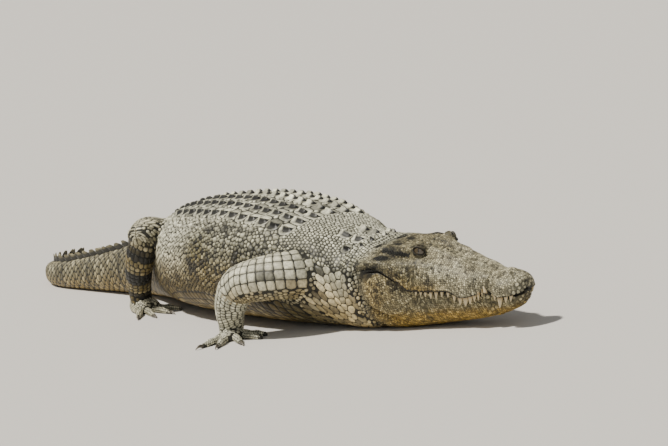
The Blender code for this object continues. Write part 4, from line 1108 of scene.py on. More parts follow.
# each step: share of the height, how far it draws in, how far it pinches, how dark its foot is as painted
# groove shade, how dark the patch is as dark horn and painted shade
GRAIN_STEPS = ((0.55, 0.93, 1.0, 0.55, 0.0), (0.45, 0.62, 1.0, 0.0, 0.0))
FLAT_STEPS = ((0.6, 0.95, 1.0, 0.6, 0.0), (0.4, 0.8, 1.0, 0.0, 0.0))
TILE_STEPS = ((0.5, 0.96, 1.0, 0.6, 0.0), (0.5, 0.83, 1.0, 0.0, 0.0))
KEELED_STEPS = ((0.35, 0.9, 1.0, 0.45, 0.0), (0.65, 0.55, 0.35, 0.0, 0.8))
SCUTE_STEPS = ((0.13, 0.96, 1.0, 0.45, 0.0), (0.05, 0.82, 0.6, 0.05, 1.0), (0.57, 0.84, 0.26, 0.0, 1.0),
               (0.25, 0.66, 0.4, 0.0, 0.85))
BLADE_STEPS = ((0.1, 0.96, 0.8, 0.5, 0.98), (0.55, 0.74, 0.45, 0.1, 0.93), (0.35, 0.42, 0.5, 0.0, 0.0))
dice = np.random.default_rng(11)


def lattice(first, last, step, reach, across, loose, brick=True):
    """Places in rows across a chart, every other row moved half a place, each a little off."""
    along = np.arange(first + step / 2.0, last, step)
    count = int(reach / across) + 2
    u, k = np.meshgrid(along, np.arange(-count, count), indexing="ij")
    odd = np.arange(len(along))[:, None] % 2 * 0.5 if brick else 0.0 * along[:, None]
    v = (k + 0.5 + odd) * across
    u = u + dice.uniform(-loose, loose, u.shape) * step
    v = v + dice.uniform(-loose, loose, v.shape) * across
    return u.ravel(), v.ravel()


def rings_of(first, last, step, half_at, across, loose, turned=0.0):
    """Places in rings round a chart, as many to each ring as fit it, every other ring turned a little."""
    us, vs = [], []
    for ring, u in enumerate(np.arange(first + step / 2.0, last, step)):
        half = float(half_at(u))
        count = max(int(round(half / across)), 2)
        places = (np.arange(count) + 0.5) * half / count
        places = np.concatenate([-places[::-1], places]) + ring % 2 * turned * half / count
        us.append(np.full(len(places), u))
        vs.append(places)
    u, v = np.concatenate(us), np.concatenate(vs)
    return (u + dice.uniform(-loose, loose, len(u)) * step, v + dice.uniform(-loose, loose, len(v)) * across)


def reaches(u, v, radius, corners, low, high, gap):
    """How far each scale reaches in each direction before it meets a neighbour or an edge."""
    flat = np.stack([u, v, np.zeros(len(u))], axis=1)
    big = np.flatnonzero(radius > BIG_SCALE)
    all_tree, big_tree = tree_of(flat), tree_of(flat[big])
    near = min(NEIGHBOURS, len(u))
    beside = np.empty((len(u), near + BIG_NEIGHBOURS), dtype=int)
    for number, spot in enumerate(flat):
        found = [row[1] for row in all_tree.find_n(spot, near)]
        large = [big[row[1]] for row in big_tree.find_n(spot, BIG_NEIGHBOURS)] if len(big) else []
        beside[number] = found + (large + [found[0]] * BIG_NEIGHBOURS)[:BIG_NEIGHBOURS]
    away_u, away_v = u[beside] - u[:, None], v[beside] - v[:, None]
    distance = away_u ** 2 + away_v ** 2
    angle = np.arange(corners) * 2.0 * math.pi / corners
    ahead = away_u[..., None] * np.cos(angle) + away_v[..., None] * np.sin(angle)
    meet = (distance + radius[:, None] ** 2 - radius[beside] ** 2)[..., None] / 2.0
    usable = (ahead > 1e-9) & (distance[..., None] > 1e-12)
    reach = np.where(usable, meet / np.where(usable, ahead, 1.0), 9.0).min(axis=1)
    reach = np.minimum(reach, 1.4 * radius[:, None])
    rise = np.sin(angle)[None, :] * np.where(v >= 0.0, 1.0, -1.0)[:, None]
    room_high, room_low = (high - np.abs(v))[:, None], (np.abs(v) - low)[:, None]
    reach = np.where(rise > 1e-6, np.minimum(reach, room_high / np.maximum(rise, 1e-6)), reach)
    reach = np.where(rise < -1e-6, np.minimum(reach, room_low / np.maximum(-rise, 1e-6)), reach)
    return np.maximum(reach - gap[:, None] / 2.0, 0.22 * radius[:, None]), angle


skin_tree = BVHTree.FromPolygons([v.co for v in skin.data.vertices],
                                 [tuple(p.vertices) for p in skin.data.polygons])
roots_sown = []


def outlines(sheet, number, seeds, corners, block):
    """Outlines on the skin, with everything a scale needs to grow, from places on a chart."""
    u, v, radius, height, lean, gap = (seeds[key] for key in ("u", "v", "radius", "height", "lean", "gap"))
    reach, angle = reaches(u, v, radius, corners, seeds["low"], seeds["high"], gap)
    chosen = seeds["keep"]
    u, v, radius, height, lean, reach = (a[chosen] for a in (u, v, radius, height, lean, reach))
    count = len(u)
    root, normal, _ = on_chart(sheet, u, v)
    behind = on_chart(sheet, u - 0.004 * seeds["ahead"], v)[0] - root
    behind -= normal * np.sum(behind * normal, axis=1, keepdims=True)
    behind /= np.linalg.norm(behind, axis=1, keepdims=True) + 1e-9
    around_u = (u[:, None] + reach * np.cos(angle)).ravel()
    around_v = (v[:, None] + reach * np.sin(angle)).ravel()
    spots = on_chart(sheet, around_u, around_v)[0]
    snapped, off = np.empty_like(spots), np.empty(len(spots))
    for k, spot in enumerate(spots):
        found = skin_tree.find_nearest(spot)
        snapped[k], off[k] = found[0], found[3]
    spots = snapped.reshape(count, corners, 3)
    sound = off.reshape(count, corners).max(axis=1) < OFF_SKIN
    away = spots - root[:, None]
    sound &= np.linalg.norm(away, axis=2).max(axis=1) < 1.6 * reach.max(axis=1) + 0.001
    bent = np.sum(away * normal[:, None], axis=2)
    sound &= bent.max(axis=1) - bent.min(axis=1) < np.maximum(0.55 * reach.max(axis=1), 0.004)
    flow = np.cross(spots[:, 1] - spots[:, 0], spots[:, corners // 2] - spots[:, 0])
    if np.sum(flow * normal, axis=1).mean() < 0.0:
        order = np.arange(corners)[::-1]
        spots, reach, angle = spots[:, order], reach[:, order], angle[order]
    tint, share, kind = markings_and_painted_light(sheet, number, u, v)
    spots = spots - normal[:, None] * SCALE_SINK
    room = np.maximum(root[:, 2] - CLEAR_OF_FLOOR - SCALE_SINK, 0.0) / np.maximum(-normal[:, 2], 1e-3)
    height = np.where(normal[:, 2] < -0.3, np.minimum(height + SCALE_SINK, room), height + SCALE_SINK)
    sound &= (height > LEAST_HEIGHT) & (spots[..., 2].min(axis=1) > 0.0002)
    seat_u = block[0] + (u - seeds["from"]) / (seeds["to"] - seeds["from"]) * block[2]
    half = np.abs(v).max() * 1.03
    seat_v = block[1] + (v / half * 0.5 + 0.5) * block[3]
    turn = np.stack([np.cos(angle), np.sin(angle), 0.0 * angle], axis=1)
    rise = normal * height[:, None] + behind * (lean * height)[:, None]
    made = {"spots": spots, "rise": rise, "aside": np.cross(normal, behind), "home": root, "tint": tint,
            "lay": np.stack([u, share, kind], axis=1), "tone": dice.uniform(0.0, 1.0, count),
            "seat": np.stack([seat_u, seat_v, 0.0 * u], axis=1), "v": v,
            "spoke": np.repeat(turn[None], count, axis=0)}
    size = np.percentile(reach, 80, axis=1)
    roots_sown.append(np.concatenate([root, size[:, None]], axis=1)[sound])
    return {key: value[sound] for key, value in made.items()}


def new_tree(name, takes, gives):
    """A tree of Geometry Nodes with named inputs and one output of geometry, and where it starts."""
    tree = bpy.data.node_groups.new(name, "GeometryNodeTree")
    for label, kind in takes:
        tree.interface.new_socket(label, in_out="INPUT", socket_type="NodeSocket" + kind)
    tree.interface.new_socket(gives, in_out="OUTPUT", socket_type="NodeSocketGeometry")
    return tree, tree.nodes.new("NodeGroupInput").outputs


def held(tree, name, kind="FLOAT_VECTOR"):
    """What the mesh holds under a name, for the nodes of a tree."""
    node = add_node(tree, "GeometryNodeInputNamedAttribute", {"Name": name}, data_type=kind)
    return node.outputs["Attribute"]


def hold(tree, mesh, name, value, chosen=True):
    """Has the chosen points of a mesh hold a number under a name."""
    node = add_node(tree, "GeometryNodeStoreNamedAttribute",
                    {"Geometry": mesh, "Selection": chosen, "Name": name, "Value": value},
                    data_type="FLOAT", domain="POINT")
    return node.outputs[0]


def finish_tree(tree, mesh, paint_used):
    """Ends a tree: smooth faces, real geometry and its material."""
    smooth = add_node(tree, "GeometryNodeSetShadeSmooth", {"Geometry": mesh})
    real = add_node(tree, "GeometryNodeRealizeInstances", {"Geometry": smooth.outputs[0]})
    last = add_node(tree, "GeometryNodeSetMaterial", {"Geometry": real.outputs[0], "Material": paint_used})
    tree.links.new(last.outputs[0], tree.nodes.new("NodeGroupOutput").inputs[0])


def growing_tree(name, steps):
    """Nodes that grow a scale from each flat outline: it rises, draws in and is closed underneath."""
    takes = (("Outlines", "Geometry"), ("Height", "Float"), ("Paint", "Material"))
    tree, start = new_tree(name, takes, "Scales")
    rise, aside, patch = held(tree, "rise"), held(tree, "aside"), held(tree, "patch", "FLOAT")
    grown, top = start["Outlines"], True
    for part, draw_in, pinch, rim, mark_and_shade_share in steps:
        share = times(start["Height"], part)
        node = add_node(tree, "GeometryNodeExtrudeMesh",
                        {"Mesh": grown, "Selection": top, "Offset": rise, "Offset Scale": share,
                         "Individual": True}, mode="FACES")
        grown, top = node.outputs["Mesh"], node.outputs["Top"]
        node = add_node(tree, "GeometryNodeScaleElements",
                        {"Geometry": grown, "Selection": top, "Scale": draw_in}, domain="FACE")
        grown = node.outputs[0]
        if pinch < 1.0:
            node = add_node(tree, "GeometryNodeScaleElements",
                            {"Geometry": grown, "Selection": top, "Scale": pinch, "Axis": aside},
                            domain="FACE", scale_mode="SINGLE_AXIS")
            grown = node.outputs[0]
        # painted shade: the rings low on each scale stay dark as in the groove; the patch is dark horn and
        # painted shade
        grown = hold(tree, grown, "edge", rim, top)
        grown = hold(tree, grown, "mark_and_shade", times(patch, mark_and_shade_share), top)
    under = add_node(tree, "GeometryNodeFlipFaces", {"Mesh": start["Outlines"]})
    both = tree.nodes.new("GeometryNodeJoinGeometry")
    for part in (under.outputs[0], grown):
        tree.links.new(part, both.inputs[0])
    whole = add_node(tree, "GeometryNodeMergeByDistance", {"Geometry": both.outputs[0], "Distance": 1e-6})
    finish_tree(tree, whole.outputs[0], start["Paint"])
    return tree


def run_tree(piece, tree, values):
    """Runs a tree on a piece with its named inputs set, and keeps the result as a plain mesh."""
    change = piece.modifiers.new("nodes", "NODES")
    change.node_group = tree
    for item in tree.interface.items_tree:
        if item.item_type == "SOCKET" and item.in_out == "INPUT" and item.name in values:
            change[item.identifier] = values[item.name]
    keep_result(piece)


def map_scales(made):
    """Gives each scale its own small patch on the map of the skin."""
    corner = np.empty(len(made.loops), dtype=np.int32)
    made.loops.foreach_get("vertex_index", corner)
    seat, spoke, rim = (get_numbers(made, name)[corner] for name in ("seat", "spoke", "edge"))
    places = seat[:, :2] + spoke[:, :2] * ROOT_PATCH * (0.35 + 0.65 * rim[:, None])
    layer = made.uv_layers.new(name="OFBake")
    layer.data.foreach_set("uv", places.astype(np.float32).ravel())


def grow(name, parts, tree, paint_used):
    """One piece of scales from outlines of several charts."""
    whole = {key: np.concatenate([part[key] for part in parts]) for key in parts[0]}
    count, corners = whole["spots"].shape[:2]
    mesh = bpy.data.meshes.new(name)
    mesh.from_pydata(whole["spots"].reshape(-1, 3).tolist(), [],
                     np.arange(count * corners).reshape(count, corners).tolist())
    for key in ("rise", "aside", "home", "tint", "lay", "seat", "tone"):
        set_numbers(mesh, key, np.repeat(whole[key], corners, axis=0))
    set_numbers(mesh, "spoke", whole["spoke"].reshape(-1, 3))
    # the foot of each scale starts fully dark: painted shade of the groove
    set_numbers(mesh, "edge", np.ones(count * corners))
    if "patch" in whole:
        set_numbers(mesh, "patch", whole["patch"].ravel())
    piece = new_object(name, mesh)
    run_tree(piece, tree, {"Height": 1.0, "Paint": paint_used})
    map_scales(piece.data)
    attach(piece, "root")


def seed_bed(sheet, groups, ahead=1.0):
    """Places of a chart's scales gathered from groups of (u, v, radius, height, lean, gap, kind)."""
    table = np.concatenate([np.stack([value + np.zeros(len(group[0])) for value in group])
                            for group in groups], axis=1)
    low, high = sheet["at"].min(), sheet["at"].max()
    order = np.sign(sheet["at"][-1] - sheet["at"][0])
    half = np.interp(table[0] * order, sheet["at"] * order, sheet["girth"]) / 2.0
    inside = (table[0] > low + 0.001) & (table[0] < high - 0.001) & (np.abs(table[1]) < half)
    table, half = table[:, inside], half[inside]
    bed = dict(zip(("u", "v", "radius", "height", "lean", "gap", "kind"), table))
    bed.update({"low": np.full(len(half), -9.0), "high": half, "from": low, "to": high, "ahead": ahead})
    return bed


def clear_of(u, v, others, radius):
    """Which places are clear of bigger scales."""
    free = np.ones(len(u), dtype=bool)
    for other_u, other_v, other_radius in others:
        free &= np.hypot(u - other_u, v - other_v) > other_radius + radius * 0.35
    return free


def half_girth(u):
    """How far round it is from the middle of the back to the middle of the belly."""
    return at_rows(body_chart["girth"], u) / 2.0


arc_from_middle = ring_length - ring_length[:, -1:] / 2.0


def arc_at(u, out):
    """Distance round from the middle of the back of a place so far out from it."""
    row = int(np.argmin(np.abs(rows - u)))
    outs = np.append(half_out[row, :OVER], half_out[row, OVER - 1] + 1.0)
    arcs = arc_from_middle[row, centre_col:centre_col + OVER + 1]
    return float(np.interp(out, np.maximum.accumulate(outs), arcs))


# Big plates first: four or six to a row on the back, a few on the nape; then all that lies between
TAIL_GRAINS, NECK_GRAINS, FACE_GRAINS = -0.735, 0.52, 0.842     # stations where each kind of coat starts
PLATE_SIZE, TUBERCLE, TUBERCLE_ROWS = 0.0335, 0.011, (0.044, 0.078, 0.112, 0.148, 0.186)
BACK_FRONT, ROW_PITCH, BACK_ROWS = 0.495, 0.066, 18
KEEL_COLUMNS, FEWER_BEHIND, BROADEST = (0.04, 0.112, 0.178), -0.3, 0.305
NAPE = ((0.735, 0.038, 0.03), (0.735, 0.098, 0.022), (0.675, 0.04, 0.027), (0.79, 0.03, 0.013),
        (0.785, 0.075, 0.012))
DOUBLE_WHORLS, SINGLE_WHORLS, BLADE_HEIGHT, SINGLE_TALLER = 16, 15, 0.031, 1.15
plates = []
for row in range(BACK_ROWS):
    u = BACK_FRONT - ROW_PITCH * row
    narrow = float(read(BODY, np.array([u]))[0]) / BROADEST
    for column in KEEL_COLUMNS if u > FEWER_BEHIND else KEEL_COLUMNS[:2]:
        v = arc_at(u, column * narrow)
        plates += [(u, v, PLATE_SIZE), (u, -v, PLATE_SIZE)]
nape = [(u, side * arc_at(u, out), size) for u, out, size in NAPE for side in (1.0, -1.0)]
blades = []
for whorl in range(DOUBLE_WHORLS + SINGLE_WHORLS):
    u = CREST_FRONT - CREST_PITCH * whorl
    tall = BLADE_HEIGHT * (0.35 + 0.65 * ease(-1.0, 6.0, whorl)) * (1.0 - 0.55 * ease(22.0, 33.0, whorl))
    if whorl < DOUBLE_WHORLS:
        spread = min(0.062 * (1.0 - whorl / DOUBLE_WHORLS) + 0.012, 0.6 * float(read(BODY, np.array([u]))[0]))
        blades += [(u, arc_at(u, spread), tall), (u, -arc_at(u, spread), tall)]
    else:
        blades += [(u, 0.0, tall * SINGLE_TALLER)]
tubercles = []
for number, beyond in enumerate(TUBERCLE_ROWS):
    for u in np.arange(-0.66, 0.52, ROW_PITCH / 1.5):
        edge_out = KEEL_COLUMNS[-1] if u > FEWER_BEHIND else KEEL_COLUMNS[1] + 0.02
        v = arc_at(u, edge_out * float(read(BODY, np.array([u]))[0]) / BROADEST) + beyond
        u_here = u + (ROW_PITCH / 3.0 if number % 2 else 0.0)
        tubercles += [(u_here, v + dice.uniform(-0.005, 0.005), TUBERCLE),
                      (u_here + 0.004, -v + dice.uniform(-0.005, 0.005), TUBERCLE)]
tubercles = [row for row in tubercles if abs(row[1]) < 0.6 * half_girth(row[0])]

groups = [(*np.array(plates).T[:2], PLATE_SIZE, 0.0125, 0.35, 0.003, SCUTE),
          (*np.array(nape).T[:2], np.array(nape).T[2], 0.0125, 0.35, 0.002, SCUTE),
          (*np.array(tubercles).T[:2], 0.0105, 0.006, 0.45, 0.0014, KEELED)]
taken = plates + nape + tubercles


def add_group(u, v, chosen, radius, height, lean, gap, kind=PLAIN, clear=True):
    """More scales among those that are there."""
    if clear:
        chosen = chosen & clear_of(u, v, taken, radius)
    groups.append((u[chosen], v[chosen], radius, height, lean, gap, kind))


WIDEST = 0.75                # no place of the body is so far round from the middle of the back


def sow(first, last, step, across, loose, brick=True):
    """Places between two stations, and how far round from the back each is, 0 to 1."""
    u, v = lattice(first, last, step, WIDEST, across, loose, brick)
    return u, v, np.abs(v) / half_girth(u)


def behind_flank(u, share):
    """Whether a place is on the rear flank, where the grains are squares in rows."""
    return ease(-0.22, -0.34, u) * ease(0.36, 0.44, share) > 0.5


# flank, rear flank, neck, tiles of the neck, belly
u, v, share = sow(TAIL_GRAINS, NECK_GRAINS, 0.015, 0.015, 0.24)
add_group(u, v, (share < 0.6) & ~behind_flank(u, share), 0.0075, 0.003, 0.3, 0.0018)
u, v, share = sow(TAIL_GRAINS, -0.26, 0.0215, 0.0225, 0.1, brick=False)
add_group(u, v, (share < 0.62) & behind_flank(u, share), 0.011, 0.0022, 0.1, 0.0022)
u, v, share = sow(NECK_GRAINS, 0.835, 0.0122, 0.0122, 0.26)
tiled = (share > 0.35) & (share < 0.82) & (u > 0.6) & (u < 0.82)
add_group(u, v, (share < 0.6) & ~tiled, 0.0061, 0.0026, 0.1, 0.0018)
u, v, share = sow(0.6, 0.815, 0.0235, 0.0265, 0.16)
add_group(u, v, (share > 0.36) & (share < 0.8), 0.013, 0.0022, 0.1, 0.0006, TILE)
u, v, share = sow(TAIL_GRAINS, FACE_STARTS, 0.033, 0.029, 0.05, brick=False)
add_group(u, v, share > np.where(u > 0.6, 0.82, 0.615), 0.0155, 0.0016, 0.05, 0.0024)

# The tail's rings, three to a whorl; the blades of the crest stand over them and shrink to its tip
u, v = rings_of(-2.585, TAIL_GRAINS, CREST_PITCH / 3.0, half_girth, 0.03, 0.03, turned=0.5)
clear_of_blades = clear_of(u, v, [(blade_u, blade_v, 0.01) for blade_u, blade_v, _ in blades], 0.004)
add_group(u, v, clear_of_blades, 0.014, 0.0024, 0.2, 0.0028, clear=False)

# The face: low, small and close, kept off the lips' edges, the lids and the nostrils
FENCE, EYE_CLEAR, NOSTRIL_CLEAR = 0.0015, 0.0205, 0.009
FACE_STEPS = ((0.838, 1.08, 0.0078), (1.08, 1.386, 0.0068))     # first and last station, pitch
eye_opens = [stand(eye_middle(side) + eye_axes(side)[0] * EYE_RADIUS) for side in (1.0, -1.0)]
nostrils = [stand(np.array([HEAD_AT + NOSTRIL_AT, side * NOSTRIL_OUT, 0.002])) for side in (1.0, -1.0)]
for first, last, step in FACE_STEPS:
    u, v = lattice(first, last, step, WIDEST, step, 0.28)
    under_lip = np.abs(v) < at_rows(lip_arc, u) - FENCE - step * 0.3
    over_chin = np.abs(v) > at_rows(jaw_arc, u) + FENCE + step * 0.3
    add_group(u, v, under_lip | over_chin, step / 2.0, 0.0009, 0.1, 0.0006)

bed = seed_bed(body_chart, groups)
spots = on_chart(body_chart, bed["u"], bed["v"])[0]
keep = np.ones(len(spots), dtype=bool)
for centres, apart in ((eye_opens, EYE_CLEAR), (nostrils, NOSTRIL_CLEAR)):
    for centre in centres:
        keep &= np.linalg.norm(spots - centre, axis=1) > apart
in_head = bed["u"] > 0.858
upper_side = np.abs(bed["v"]) < at_rows((lip_arc + jaw_arc) / 2.0, bed["u"])
bed["high"] = np.where(in_head & upper_side, at_rows(lip_arc, bed["u"]) - FENCE, bed["high"])
bed["low"] = np.where(in_head & ~upper_side, at_rows(jaw_arc, bed["u"]) + FENCE, bed["low"])
small_tree, flat_tree = growing_tree("grow_grains", GRAIN_STEPS), growing_tree("grow_flat", FLAT_STEPS)
keeled_tree, tile_tree = growing_tree("grow_keeled", KEELED_STEPS), growing_tree("grow_tiles", TILE_STEPS)
scale_paint = hide_material("hide_scales", 0.0006, 0.96, 0.88, 0.78)
tail_paint = hide_material("hide_tail", 0.0006, 0.78, 0.35, 0.5)
face_paint = hide_material("hide_face", 0.0008, 0.97, 0.8, 0.65, 1.2, 0.22)
left_side, kind = bed["v"] > 0.0, bed["kind"]
on_tail, on_head, in_front = bed["u"] <= TAIL_GRAINS, bed["u"] >= FACE_GRAINS, bed["u"] >= NECK_GRAINS
on_trunk, on_neck = ~on_tail & ~in_front & (kind == PLAIN), in_front & ~on_head & (kind == PLAIN)
BLOCK = (0.02, 0.02, 0.96, 0.96)     # the part of the skin's map that the body takes
for name, chosen, corners, tree, used, slot in (
        ("scales_trunk_left", on_trunk & left_side, 8, small_tree, scale_paint, "hide"),
        ("scales_trunk_right", on_trunk & ~left_side, 8, small_tree, scale_paint, "hide"),
        ("scales_neck", on_neck, 10, small_tree, scale_paint, "hide"),
        ("tiles_neck", kind == TILE, 12, tile_tree, scale_paint, "hide"),
        ("scales_tail", on_tail & (kind == PLAIN), 12, small_tree, tail_paint, "tail"),
        ("scales_head", on_head & upper_side, 8, flat_tree, face_paint, "head"),
        ("scales_jaw", on_head & ~upper_side, 8, flat_tree, face_paint, "jaw"),
        ("keeled_scales", kind == KEELED, 12, keeled_tree, scale_paint, "hide")):
    grow(name, [outlines(body_chart, 0, dict(bed, keep=keep & chosen), corners, BLOCK)], tree, used)


# ------------------------ plates of the back and nape
# Bony plates under horn, in straight rows: each is a square tile with a keel that rises backwards.
# They lie in the hide, edge to edge along a row. The front and outer side of each keel is painted black:
# partly its own dark horn, partly painted shade.
back_plates = outlines(body_chart, 0, dict(bed, keep=kind == SCUTE), 16, BLOCK)
ahead, aside = back_plates["spoke"][..., 0], back_plates["spoke"][..., 1]
# the patch: the front and outer side of each keel, painted black as dark horn and as painted shade
facing = ahead + 0.75 * aside * np.sign(back_plates["v"])[:, None]
back_plates["patch"] = ease(-0.3, 0.05, facing)
grow("back_plates", [back_plates], growing_tree("grow_scutes", SCUTE_STEPS),
     hide_material("hide_plates", 0.001))


# ------------------------ crest of the tail
# Tall horny blades in two rows that close to one, leaning back, each on a whorl of the tail's rings.
# They are thin, and stay softer than the plates of the back.
BLADE_RADIUS, BLADE_LEAN, BLADE_THINNING = 0.0235, 0.85, 0.72
blade_u, blade_v, blade_height = np.array(blades).T
crest_bed = seed_bed(body_chart, [(blade_u, blade_v, BLADE_RADIUS, blade_height, BLADE_LEAN, 0.0, BLADE)])
crest_bed["keep"] = np.ones(len(crest_bed["u"]), dtype=bool)
crest_blades = outlines(body_chart, 0, crest_bed, 12, BLOCK)
middle = crest_blades["spots"].mean(axis=1, keepdims=True)
spread = crest_blades["spots"] - middle
aside = crest_blades["aside"][:, None]
spread -= aside * np.sum(spread * aside, axis=2, keepdims=True) * BLADE_THINNING
crest_blades["spots"] = middle + spread
# the lower part of each blade is dark and its tip pale: the dark is partly its own horn, partly painted shade
# between the crowded blades
crest_blades["patch"] = np.ones(crest_blades["spots"].shape[:2])
grow("crest_blades", [crest_blades], growing_tree("grow_blades", BLADE_STEPS), tail_paint)


# ------------------------ scales of the legs
# Broad smooth plates over the upper arm and the knee, narrow rings round the forearm, squares on the
# shank, fine grains under them and on the feet, where they wear smooth.
limb_paint = hide_material("hide_limbs", 0.0006, 0.96, 0.45, 0.62)
for name, sheets in charts.items():
    if name == "body":
        continue
    arm = name.startswith("arm")
    parts = []
    for number, sheet in enumerate(sheets):
        length, widest = sheet["at"][-1], sheet["girth"].max()

        def half_here(place, sheet=sheet):
            """Half the girth of this length of the leg at a place."""
            return np.interp(place, sheet["at"], sheet["girth"]) / 2.0

        if number == 0:
            u, v = lattice(0.0, length, 0.0225 if arm else 0.013, widest, 0.033 if arm else 0.0215, 0.04,
                           brick=not arm)
            up = on_chart(sheet, u, v)[1][:, 2]
            size, high, gap = (0.015, 0.0024, 0.001) if arm else (0.0115, 0.0022, 0.0011)
            plated = -0.6 if arm else -0.25
            groups = [(u[up > plated], v[up > plated], size, high, 0.25, gap, PLAIN)]
            u, v = lattice(0.0, length, 0.0135, widest, 0.0135, 0.2)
            up = on_chart(sheet, u, v)[1][:, 2]
            groups += [(u[up <= plated], v[up <= plated], 0.0066, 0.0018, 0.1, 0.0018, PLAIN)]
        elif number == 1:
            step, wide = (0.011, 0.02) if arm else (0.018, 0.0195)
            u, v = rings_of(0.0, length, step, half_here, wide, 0.06)
            groups = [(u, v, step / 2.0 + 0.003, 0.0022, 0.25, 0.0014 if arm else 0.002, PLAIN)]
        elif number == 2:
            u, v = lattice(0.0, length, 0.01, widest, 0.01, 0.2)
            groups = [(u, v, 0.005, 0.0014, 0.1, 0.0009, PLAIN)]
        else:
            u, v = rings_of(0.01, length - 0.006, 0.0085, half_here, 0.0095, 0.05)
            groups = [(u, v, 0.0052, 0.0013, 0.15, 0.0009, PLAIN)]
        bed = seed_bed(sheet, groups, ahead=-1.0)
        spots, normals, _ = on_chart(sheet, bed["u"], bed["v"])
        under_sole = (spots[:, 2] < 0.01) & (normals[:, 2] < -0.6)
        bed["keep"] = (spots[:, 2] > 0.0035) & ~under_sole
        if number < 2:
            block = (0.02, 0.02 + 0.31 * number, 0.96, 0.29)
        else:
            block = (0.02 + 0.16 * (number - 2), 0.66, 0.14, 0.3)
        if bed["keep"].any():
            parts.append(outlines(sheet, number, bed, 12, block))
    grow("scales_" + name, parts, small_tree, limb_paint)


# ------------------------ grains of the creases
# Fine grains of horn in the armpits and groins, and wherever the bigger scales leave the hide bare.
# The hide is soft and folds there; in a model they are cast in one with the skin.
GRAIN, GRAIN_HEIGHT, GRAIN_GAP, GRAIN_CORNERS, GRAIN_LEAST = 0.0058, 0.0024, 0.0008, 8, 0.002
SOLE_HEIGHT, LIP_CLEAR, GRAIN_OFF_EYE, GRAIN_OFF_NOSTRIL = 0.01, 0.004, 0.029, 0.01
sown = np.concatenate(roots_sown)
sown_tree = tree_of(sown[:, :3])
eye_middles = [stand(eye_middle(side)) for side in (1.0, -1.0)]


def far_from(spot, centres, apart):
    """Whether a spot is so far from every centre."""
    return min(np.linalg.norm(np.array(spot) - centre) for centre in centres) >= apart


def left_bare(face):
    """Whether a face of the skin is bare hide, and not sole, lip, eye or nostril."""
    spot = face.center
    if spot.z < SOLE_HEIGHT and face.normal.z < 0.3:
        return False
    station, share, kind = near_lay[nearest_number(spot)]
    if kind in (TRUNK_HIDE, FACE_HIDE, JAW_HIDE) and station > 0.855:
        arc = share * half_girth(station)
        if at_rows(lip_arc, station) - LIP_CLEAR < arc < at_rows(jaw_arc, station) + LIP_CLEAR:
            return False
        if not (far_from(spot, nostrils, GRAIN_OFF_NOSTRIL) and far_from(spot, eye_middles, GRAIN_OFF_EYE)):
            return False
    return all(away >= sown[number, 3] + GRAIN * 0.8 for _, number, away in sown_tree.find_n(spot, 6))


def thinned(spots, cell_size, apart):
    """Spots taken in a chance order, without those too close to one already taken."""
    taken_here, cells = [], {}
    for number in dice.permutation(len(spots)):
        spot = spots[number]
        cell = tuple(int(math.floor(c / cell_size)) for c in spot)
        if all((other - spot).length >= apart for dx, dy, dz in itertools.product((-1, 0, 1), repeat=3)
               for other in cells.get((cell[0] + dx, cell[1] + dy, cell[2] + dz), ())):
            cells.setdefault(cell, []).append(spot)
            taken_here.append(spot)
    return taken_here


bare_spots = [face.center.copy() for face in skin.data.polygons if left_bare(face)]
found = [skin_tree.find_nearest(spot) for spot in thinned(bare_spots, GRAIN * 2.0, GRAIN * 1.9)]
spots, normals = np.array([row[0] for row in found]), np.array([row[1] for row in found])
first = unit(np.cross(normals, (0.31, 0.52, 0.79)))
second = np.cross(normals, first)
spots_tree = tree_of(spots)
beside = np.array([[row[1] for row in spots_tree.find_n(spot, 10)] for spot in spots])
away = spots[beside] - spots[:, None]
angle = np.arange(GRAIN_CORNERS) * 2.0 * math.pi / GRAIN_CORNERS
ray = first[:, None] * np.cos(angle)[:, None] + second[:, None] * np.sin(angle)[:, None]
ahead = np.einsum("nkc,nmc->nkm", away, ray)
meet = np.sum(away ** 2, axis=2)[..., None] / 2.0
reach = np.where(ahead > 1e-6, meet / np.maximum(ahead, 1e-6), 9.0).min(axis=1)
reach = np.clip(reach - GRAIN_GAP, GRAIN_LEAST, GRAIN * 1.25)
around = spots[:, None] + ray * reach[..., None]
snapped = np.array([[skin_tree.find_nearest(p)[0] for p in ring] for ring in around])
lay_here = [nearest_number(spot) for spot in spots]
low, high = spots.min(axis=0), spots.max(axis=0)
seat = (0.02 + 0.96 * (spots - low) / (high - low)) * (1.0, 1.0, 0.0)
turn = np.repeat(np.stack([np.cos(angle), np.sin(angle), 0.0 * angle], axis=1)[None], len(spots), axis=0)
fillers = {"spots": snapped - normals[:, None] * SCALE_SINK, "rise": normals * (GRAIN_HEIGHT + SCALE_SINK),
           "aside": second, "home": spots, "tint": near_tint[lay_here], "lay": near_lay[lay_here],
           "tone": dice.uniform(0.0, 1.0, len(spots)), "seat": seat, "spoke": turn}
of_body = (fillers["lay"][:, 2] == TRUNK_HIDE) | (fillers["lay"][:, 2] >= FACE_HIDE)
on_face = (fillers["lay"][:, 0] > FACE_GRAINS) & of_body
for name, part, used, slot in (("grains_of_creases", ~on_face, scale_paint, "hide"),
                               ("grains_of_face", on_face, face_paint, "head")):
    grow(name, [{key: value[part] for key, value in fillers.items()}], small_tree, used)


# ------------------------ the eyes
# Two moist balls set in the domes of the head, brown and olive round an upright slit.
# They are glass in a model, painted behind, and pressed in from inside before the lids are closed.
EYE_SEGMENTS, EYE_RINGS, EYE_POLE = 40, 26, 0.04
CORNEA = 0.03                # how much further the clear front stands out


